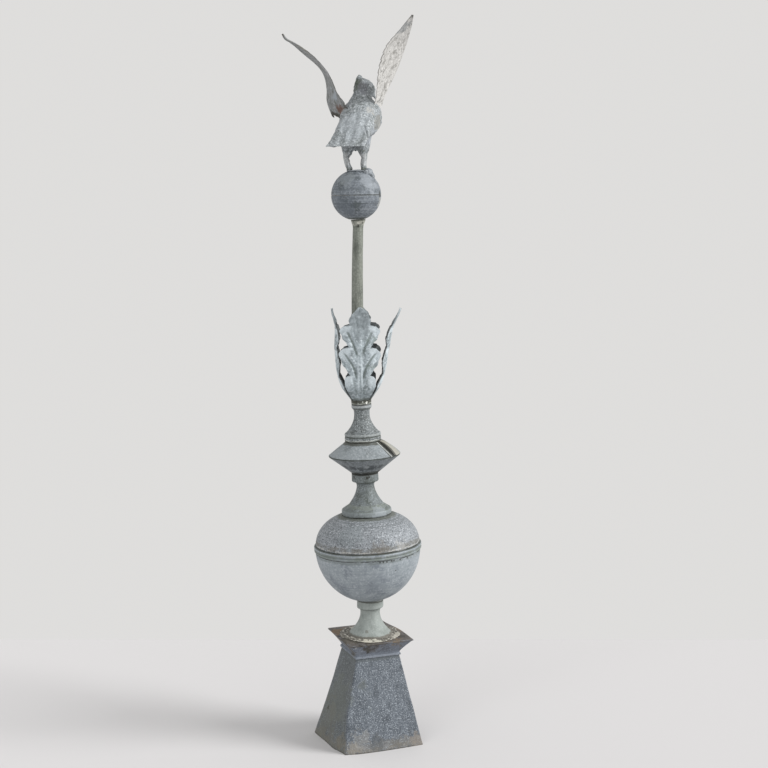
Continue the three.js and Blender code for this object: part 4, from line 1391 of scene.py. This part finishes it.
def makeWing(name, shape, material):
    v = wingValues
    rows, columns = v["rows"], v["columns"]
    base = Vector(shape["root"])
    span = Vector(shape["tip"]) - base

    def chordAt(s):
        turn = math.radians(along(shape["azimuth"], s))
        rise = math.tan(math.radians(shape["chordRise"]))
        return Vector((math.cos(turn), math.sin(turn), rise)).normalized()

    face = chordAt(0.5).cross(span).normalized()

    def pointAt(i, j, depth):
        s = i / rows
        t = 2 * j / columns - 1
        half = along(shape["chord"], s) / 2
        feather = (s * v["feathers"]) % 1
        notch = 1 - (0.1 * feather ** 2) * smooth(-t, 0.55, 1) if t < 0 else 1
        point = base + span * s + chordAt(s) * (half * t * notch)
        edge = 1 - smooth(abs(t), 0.86, 1) * 0.75
        edge *= 1 - 0.5 * smooth(s, 0.96, 1)
        relief = (0.75 * featherLine(s, t) + 0.8 * grain((s * 220, t * 50, 9), 11, 4)) * smooth(s, 0.05, 0.2)
        body = v["thickness"] * 0.9 * edge
        frays = shape["frayed"] * smooth(s, 0.14, 0) * (0.7 - 0.45 * t + 0.75 * grain((t * 30, 0, 0), 4, 51))
        out = along(shape["bow"], s) + shape["camber"] * (1 - t * t) - v["thickness"] / 2
        out += (1 if depth == 0 else -1) * body / 2
        out += relief * v["relief"] * edge * (1 if depth == 0 else 0.6)
        return point - span.normalized() * frays + face * out

    width = columns + 1
    layer = (rows + 1) * width
    points = [pointAt(i, j, depth) for depth in (0, 1) for i in range(rows + 1) for j in range(width)]
    mesh = meshOf(points, sheetFaces(rows, columns))
    feathers, rim = [], []
    for k in range(len(points)):
        s, t = (k % layer) // width / rows, 2 * (k % width) / columns - 1
        feathers.append(smooth(featherLine(s, t), -0.2, -0.9) * smooth(s, 0.05, 0.2))
        root = max(smooth(-t, 0.1, 0.8) * smooth(s, 0.24, 0.06), smooth(s, 0.07, 0.02))
        torn = root if shape["frayed"] else 0
        rim.append(max(smooth(-t, 0.86, 1), 0.6 * smooth(t, 0.93, 1), 0.9 * smooth(s, 0.93, 1), torn))
    paintMask(mesh, "rim", rim)
    paintMask(mesh, "feathers", feathers)
    return finishPiece(name, mesh, birdFrame, material, [shape["node"]], sharp=50)


rightWingZinc = zinc(
    "wingZinc",
    birdFrame,
    birdValues["rightWingZinc"],
    marks=[("feathers", "#918f8b", 0.3), ("rim", "#585652", 0.9)],
    blotches=[
        ((62, 36, 160), 12, 1.3, "#5f605c", 0.6),
        ((112, -62, 326), 24, 1.8, "#7d8387", 0.6),
        ((64, -28, 221), 5, 1.2, "#2d2e2b", 0.9),
        ((64, -28, 222), 2.2, 0.6, "#e6e4df", 0.9),
        ((96, -30, 262), 9, 1.6, "#83827f", 0.6),
    ],
)
leftWingZinc = zinc(
    "leftWingZinc",
    birdFrame,
    birdValues["leftWingZinc"],
    marks=[("feathers", "#6a6c6a", 0.5), ("rim", "#3b362f", 0.9)],
    blotches=[
        ((-80, 20, 170), 34, 1.5, "#9fa8b0", 0.7),
        ((-98, 0, 216), 44, 1.8, "#a9a9ad", 0.5),
        ((-140, 0, 266), 30, 1.8, "#99978b", 0.35),
        ((-42, 30, 142), 19, 1.4, "#5f4233", 0.85),
        ((-40, 24, 128), 16, 1.2, "#2f2925", 0.85),
    ],
)

# Shoe and cap
shoeValues = {
    "footWidth": 217,
    "footDepth": 185,
    "footShift": (-9, -12),
    "topSide": 112,
    "bow": 7,
    "flange": 12,
    "sheet": 1.5,
    "round": 2.5,
    "zinc": {
        "Base": "#5e656d", "Dark": "#3a4047", "Pale": "#979ea5",
        "Mottle": 0.45, "Mottle Size": 46, "Speckle": 0.97, "Speckle Size": 2.7,
        "Streak": 0.5, "Pits": 0.2, "Bump": 1.0,
    },
    "dents": [  # place across and up the front, radius and depth
        ((-56, 30), 17, 2.2),
        ((-26, 22), 13, 1.6),
        ((-74, 46), 12, 1.6),
        ((40, 20), 22, 1.2),
        ((-8, 60), 24, 1.0),
    ],
    "knockedCorner": (14, 3),  # how far the front left corner of the foot is knocked in
    "pressedCorner": (7, 10),  # how far the back left corner is pushed to the left and forwards
}


def squareLoop(half, corner, perSide=24, cornerSteps=4):  # points round a square with rounded corners
    quarter = [(half, mix(-1, 1, i / perSide) * (half - corner)) for i in range(perSide)]
    for i in range(cornerSteps):
        turn = math.radians(90 * i / cornerSteps)
        quarter.append((half - corner + corner * math.cos(turn), half - corner + corner * math.sin(turn)))
    points = []
    for k in range(4):
        cx, cy = math.cos(math.radians(90 * k)), math.sin(math.radians(90 * k))
        points += [(x * cx - y * cy, x * cy + y * cx) for x, y in quarter]
    return points


def loopFaces(loops, sides, closedRound=False):  # joins each loop of points to the next
    faces = []
    count = loops if closedRound else loops - 1
    for i in range(count):
        for j in range(sides):
            a, b = i * sides + j, i * sides + (j + 1) % sides
            c, d = ((i + 1) % loops) * sides + (j + 1) % sides, ((i + 1) % loops) * sides + j
            faces.append((a, b, c, d))
    return faces


def makeShoe():
    v = shoeValues
    bottom, top = v["footWidth"] / 2, v["topSide"] / 2
    rows, innerRows = 40, 8
    profile = [(mix(bottom, top, i / rows), shoeHeight * i / rows, 1) for i in range(rows + 1)]
    for i in range(innerRows + 1):
        t = i / innerRows
        profile.append((mix(top, bottom, t) - v["sheet"], mix(shoeHeight, v["sheet"], t), 0))
    profile += [(bottom - v["flange"], v["sheet"], 0), (bottom - v["flange"], 0, 0)]
    points = []
    for half, z, outer in profile:
        lowness = 1 - z / shoeHeight
        for x, y in squareLoop(half, v["round"] if outer else v["round"] * 0.6):
            px = x + v["footShift"][0] * lowness
            py = y * mix(1, v["footDepth"] / v["footWidth"], lowness) + v["footShift"][1] * lowness
            if y < 0:  # the front side has been pushed out at the foot, and its left corner knocked in
                bulge = 0.3 + 0.7 * math.cos(math.pi * 0.5 * x / half)
                py -= v["bow"] * lowness ** 2 * bulge * (-y / half)
                knocked = smooth(-x / half, 0.5, 1) * smooth(-y / half, 0.3, 1) * smooth(lowness, 0.55, 1)
                px += v["knockedCorner"][0] * knocked
                py += v["knockedCorner"][1] * knocked
            pressed = smooth(-x / half, -0.3, 1) * smooth(y / half, -0.3, 1) * lowness
            px -= v["pressedCorner"][0] * pressed * smooth(lowness, 0.4, 1)
            py -= v["pressedCorner"][1] * pressed
            if outer and 0 < z < shoeHeight:
                inset = 0.6 * (grain((x, y, z), 50, 11) - 0.5) + 0.25 * grain((x, y, z), 14, 12)
                if y < -half + 1:
                    for (dx, dz), radius, depth in v["dents"]:
                        inset -= depth * math.exp(-((math.hypot(x - dx, z - dz) / radius) ** 2))
                length = max(abs(x), abs(y))
                px += inset * (x / length if abs(x) > half - 4 else 0)
                py += inset * (y / length if abs(y) > half - 4 else 0)
            points.append((px, py, z))
    loop = squareLoop(1, 0.01)
    mesh = meshOf(points, loopFaces(len(profile), len(loop), True))
    paintMask(mesh, "leftSide", [1 if x < -0.97 and y > -0.97 else 0 for x, y in loop] * len(profile))
    material = zinc(
        "shoeZinc",
        baseFrame,
        v["zinc"],
        bands=[
            (shoeHeight - 4, 5, 8, 0.4, "#4f5557", 0.6),
            (4, 9, 34, 0.9, "#746e64", 0.5),
            (0, 3.0, 5, 0.4, "#45433e", 0.8),
            (16, 14, 50, 1.0, "#878176", 0.3),
        ],
        marks=[("leftSide", "#5d6057", 0.34)],
        blotches=[
            ((-101, 38, 72), 6, 0.9, "#1f201c", 0.95),
            ((-60, -104, 34), 22, 1.8, "#8b8a86", 0.4),
            ((-84, -100, 14), 16, 1.8, "#8f897d", 0.4),
            ((-100, -70, 24), 20, 1.8, "#77705f", 0.4),
            ((84, -104, 14), 20, 1.8, "#857a6d", 0.4),
            ((-20, -108, 22), 20, 1.8, "#43474a", 0.5),
            ((30, -108, 12), 15, 2.0, "#5c5a55", 0.5),
            ((-92, -20, 110), 70, 1.6, "#5f645c", 0.4),
            ((-104, 20, 50), 60, 1.6, "#6d6c60", 0.35),
        ],
    )
    return finishPiece("baseShoe", mesh, baseFrame, material, ["base_shoe"], sharp=40)


capValues = {
    "lip": 3,
    "bead": 3,
    "beadHeight": 6,
    "sheet": 1.5,
    "warp": (-14, 15),
    "zinc": {
        "Base": "#6e747e", "Dark": "#4a4e52", "Pale": "#9ba1a9",
        "Mottle": 0.5, "Mottle Size": 26, "Speckle": 0.6, "Speckle Size": 3.6, "Pits": 0.15,
    },
}


def capWarped(x, y, z, half):
    dx, dy = capValues["warp"]
    share = smooth(x / half, -0.1, 1) * smooth(y / half, -0.1, 1) * z / capHeight
    return x + dx * share, y + dy * share, z


def makeCap():
    v = capValues
    foot, edge = shoeValues["topSide"] / 2, stackValues["capSide"] / 2
    under = capHeight - v["lip"]
    profile = [
        (foot - v["sheet"], 0),
        (foot + v["bead"], 0),
        (foot + v["bead"], v["beadHeight"] - 3),
        (foot + v["bead"] - 0.8, v["beadHeight"] - 1.2),
        (foot + 0.4, v["beadHeight"]),
    ]
    steps = 14
    for i in range(1, steps + 1):
        t = i / steps
        profile.append((mix(foot, edge - v["sheet"], t ** 1.15), mix(v["beadHeight"] + 0.6, under, t)))
    profile += [(edge, under), (edge, capHeight - 0.8), (edge - 1, capHeight)]
    profile += [(edge - k * 8, capHeight - 0.2 * min(k, 3)) for k in range(1, 10)] + [(4, capHeight - 0.6)]
    wall = foot - v["sheet"]
    inner = [(4, under - v["sheet"]), (foot - 8, under - v["sheet"]), (wall, under - v["sheet"]), (wall, 4)]
    loops = profile + inner
    points, plate = [], []
    for k, (half, z) in enumerate(loops):
        onTop = k < len(profile) and z > capHeight - 0.7
        for x, y in squareLoop(half, min(1.6, half * 0.2), 24, 3):
            wave = 0.5 * grain((x, y, z), 24, 13) if z > under - 1 and half > 20 else 0
            points.append(capWarped(x, y, min(max(z - abs(wave), 0), capHeight), max(half, foot)))
            plate.append(0.9 if onTop else 0)
    sides = len(points) // len(loops)
    faces = loopFaces(len(profile), sides)
    offset = len(profile) * sides
    faces += [tuple(offset + k for k in face) for face in loopFaces(len(inner), sides)]
    faces.append(tuple(range(offset - sides, offset)))
    faces.append(tuple(range(offset, offset + sides)))
    closing = offset + (len(inner) - 1) * sides
    faces += [(j, (j + 1) % sides, closing + (j + 1) % sides, closing + j) for j in range(sides)]
    mesh = meshOf(points, faces)
    paintMask(mesh, "plate", plate)
    material = zinc(
        "capZinc",
        capFrame,
        v["zinc"],
        bands=[
            (capHeight - 3, 2.4, 4, 0.5, "#473f35", 0.85),
            (v["beadHeight"] + 2, 5, 4, 0.5, "#757d88", 0.5),
            (3, 2.4, 2, 0.6, "#828a94", 0.4),
        ],
        marks=[("plate", "#544a3e", 0.74)],
        blotches=[
            ((-62, 40, capHeight), 30, 1.4, "#7c6444", 0.6),
            ((66, 10, capHeight), 22, 1.4, "#7a6a55", 0.5),
            ((-62, -24, capHeight + 12), 32, 3.4, "#23241f", 0.8),
            ((-34, -68, capHeight + 16), 28, 3.4, "#2a2922", 0.75),
            ((40, -74, capHeight + 10), 20, 3.4, "#7b6a52", 0.6),
            ((70, -44, capHeight + 10), 20, 3.2, "#2e2c26", 0.65),
            ((-66, -80, capHeight - 12), 6, 1.6, "#c0c2c1", 0.6),
            ((-72, -40, capHeight - 14), 30, 1.6, "#5d574c", 0.5),
            ((-20, -80, capHeight - 6), 26, 1.8, "#554f46", 0.5),
        ],
    )
    return finishPiece("baseCap", mesh, capFrame, material, ["base_cap"], sharp=40)


mortarValues = {
    "inner": 50,
    "outer": 75,
    "height": 3.4,
    "zinc": {
        "Base": "#6d6a62", "Dark": "#35322c", "Pale": "#c4c1b8", "Metallic": 0.0,
        "Mottle": 0.6, "Mottle Size": 12, "Speckle": 1.0, "Speckle Size": 5.4, "Pits": 0.8, "Bump": 1.0,
    },
}


def makeMortar():  # old bedding mortar round the foot of the neck
    v = mortarValues
    around, across = 160, 14
    points = []
    for i in range(around):
        angle = 2 * math.pi * i / around
        cx, cy = math.cos(angle), math.sin(angle)
        ring = (90 * cx, 90 * cy, 0)
        edge = v["outer"] + 4.5 * grain(ring, 26, 21) + 2 * grain(ring, 9, 22)
        for k in range(across + 1):
            t = k / across
            radius = mix(v["inner"], edge, t)
            x, y = radius * cx, radius * cy
            bump = 0.55 + 0.45 * grain((x, y, 0), 10, 23) + 0.35 * grain((x, y, 0), 4, 24)
            crown = math.sin(math.pi * min(0.2 + 0.8 * t, 1)) ** 0.6 if t < 1 else 0
            points.append((x, y, max(v["height"] * max(bump, 0.12) * crown, 0.05)))
        points.append((v["inner"] * cx, v["inner"] * cy, -0.25))
    sides = across + 2
    faces = []
    for i in range(around):
        n = (i + 1) % around
        for k in range(sides):
            m = (k + 1) % sides
            faces.append((i * sides + k, i * sides + m, n * sides + m, n * sides + k))
    blotches = [((0, -76, 2), 26, 2.2, "#d6d3c6", 0.7), ((70, -22, 2), 20, 2.2, "#cfccc0", 0.5)]
    material = zinc("mortar", workFrame, v["zinc"], blotches=blotches)
    return finishPiece("mortarBed", meshOf(points, faces), workFrame, material, [], sharp=60)


# Camera, floor and light
cameraValues = {
    "distance": 3500,
    "aside": 34.3,
    "height": 1344,
    "pitch": 7.4,
    "focalPixels": 1450,
    "picturePixels": 768,
    "sensor": 36,
}


def makeCamera():
    v = cameraValues
    turn = math.radians(-stackValues["upperTurn"])
    right = Vector((math.cos(turn), -math.sin(turn), 0))
    away = Vector((math.sin(turn), math.cos(turn), 0))
    eye = Vector((axisX, axisY, v["height"])) + right * v["aside"] - away * v["distance"]
    data = bpy.data.cameras.new("camera")
    data.sensor_width = v["sensor"]
    data.lens = v["focalPixels"] / v["picturePixels"] * v["sensor"]
    data.clip_start, data.clip_end = 0.1, 100
    camera = bpy.data.objects.new("camera", data)
    bpy.context.scene.collection.objects.link(camera)
    camera.location = eye * millimetre
    pitch = math.radians(v["pitch"])
    look = away * math.cos(pitch) + Vector((0, 0, -math.sin(pitch)))
    camera.rotation_euler = look.to_track_quat("-Z", "Y").to_euler()
    bpy.context.scene.camera = camera


# The stage is in metres. A light is given by its place, spread, power and shade.
stageValues = {
    "behind": 0.8,
    "front": 12.0,
    "aside": 12.0,
    "floor": "#c9c8c9",
    "floorRoughness": 0.9,
    "wall": (1.0, 0.99, 0.975, 1),
    "wallStrength": 0.735,
    "middle": (0, 0, 0.9),
    "lights": {
        "key": ((5.2, -3.4, 4.5), 28, 2.83, (1, 0.99, 0.98)),
        "fill": ((-5.2, -3.8, 4.7), 36, 0.5, (0.98, 0.99, 1)),
    },
}


def softLight(name, place, spread, power, shade):
    data = bpy.data.lights.new(name, "SUN")
    data.energy, data.angle, data.color = power, math.radians(spread), shade
    light = bpy.data.objects.new(name, data)
    bpy.context.scene.collection.objects.link(light)
    light.location = place
    towards = Vector(stageValues["middle"]) - light.location
    light.rotation_euler = towards.to_track_quat("-Z", "Y").to_euler()


def makeStage():
    v = stageValues
    aside, front, behind = v["aside"], v["front"], v["behind"]
    corners = [(-aside, -front, 0), (aside, -front, 0), (aside, behind, 0), (-aside, behind, 0)]
    floor = bpy.data.objects.new("floor", meshOf(corners, [(0, 1, 2, 3)]))
    floor.rotation_euler.z = math.radians(stackValues["upperTurn"])
    bpy.context.scene.collection.objects.link(floor)
    paint = bpy.data.materials.new("paleFloor")
    paint.use_nodes = True
    shader = paint.node_tree.nodes["Principled BSDF"]
    shader.inputs["Base Color"].default_value = color(v["floor"])
    shader.inputs["Roughness"].default_value = v["floorRoughness"]
    floor.data.materials.append(paint)
    world = bpy.data.worlds.new("studio")
    world.use_nodes = True
    background = world.node_tree.nodes["Background"]
    background.inputs["Color"].default_value = v["wall"]
    background.inputs["Strength"].default_value = v["wallStrength"]
    bpy.context.scene.world = world
    for name, light in v["lights"].items():
        softLight(name, *light)
    bpy.context.scene.view_settings.view_transform = "Standard"


makeCamera()
makeStage()
print("camera and stage ready")
makeShoe()
makeCap()
makeMortar()
print("shoe and cap ready")
makeLowerNeck()
makeBigBallLower()
makeBigBallUpper()
makeMiddleNeck()
makeBiconeLower()
makeBiconeUpper()
makeLapSeam()
makeUpperNeck()
makeStem()
print("turned work ready")
for leafName, leafPose in leafPoses.items():
    makeLeaf(leafName, *leafPose)
makeTopBallHalf("topBallLower", False, "top_ball_lower", stackValues["ferruleRadius"])
makeTopBallHalf("topBallUpper", True, "top_ball_upper", topBallValues["birdSeat"])
makeSolderPads()
print("leaves and top ball ready")
makeBirdBody()
makeWing("birdWingLeft", wingShapes["birdWingLeft"], leftWingZinc)
makeWing("birdWingRight", wingShapes["birdWingRight"], rightWingZinc)
print("bird ready")
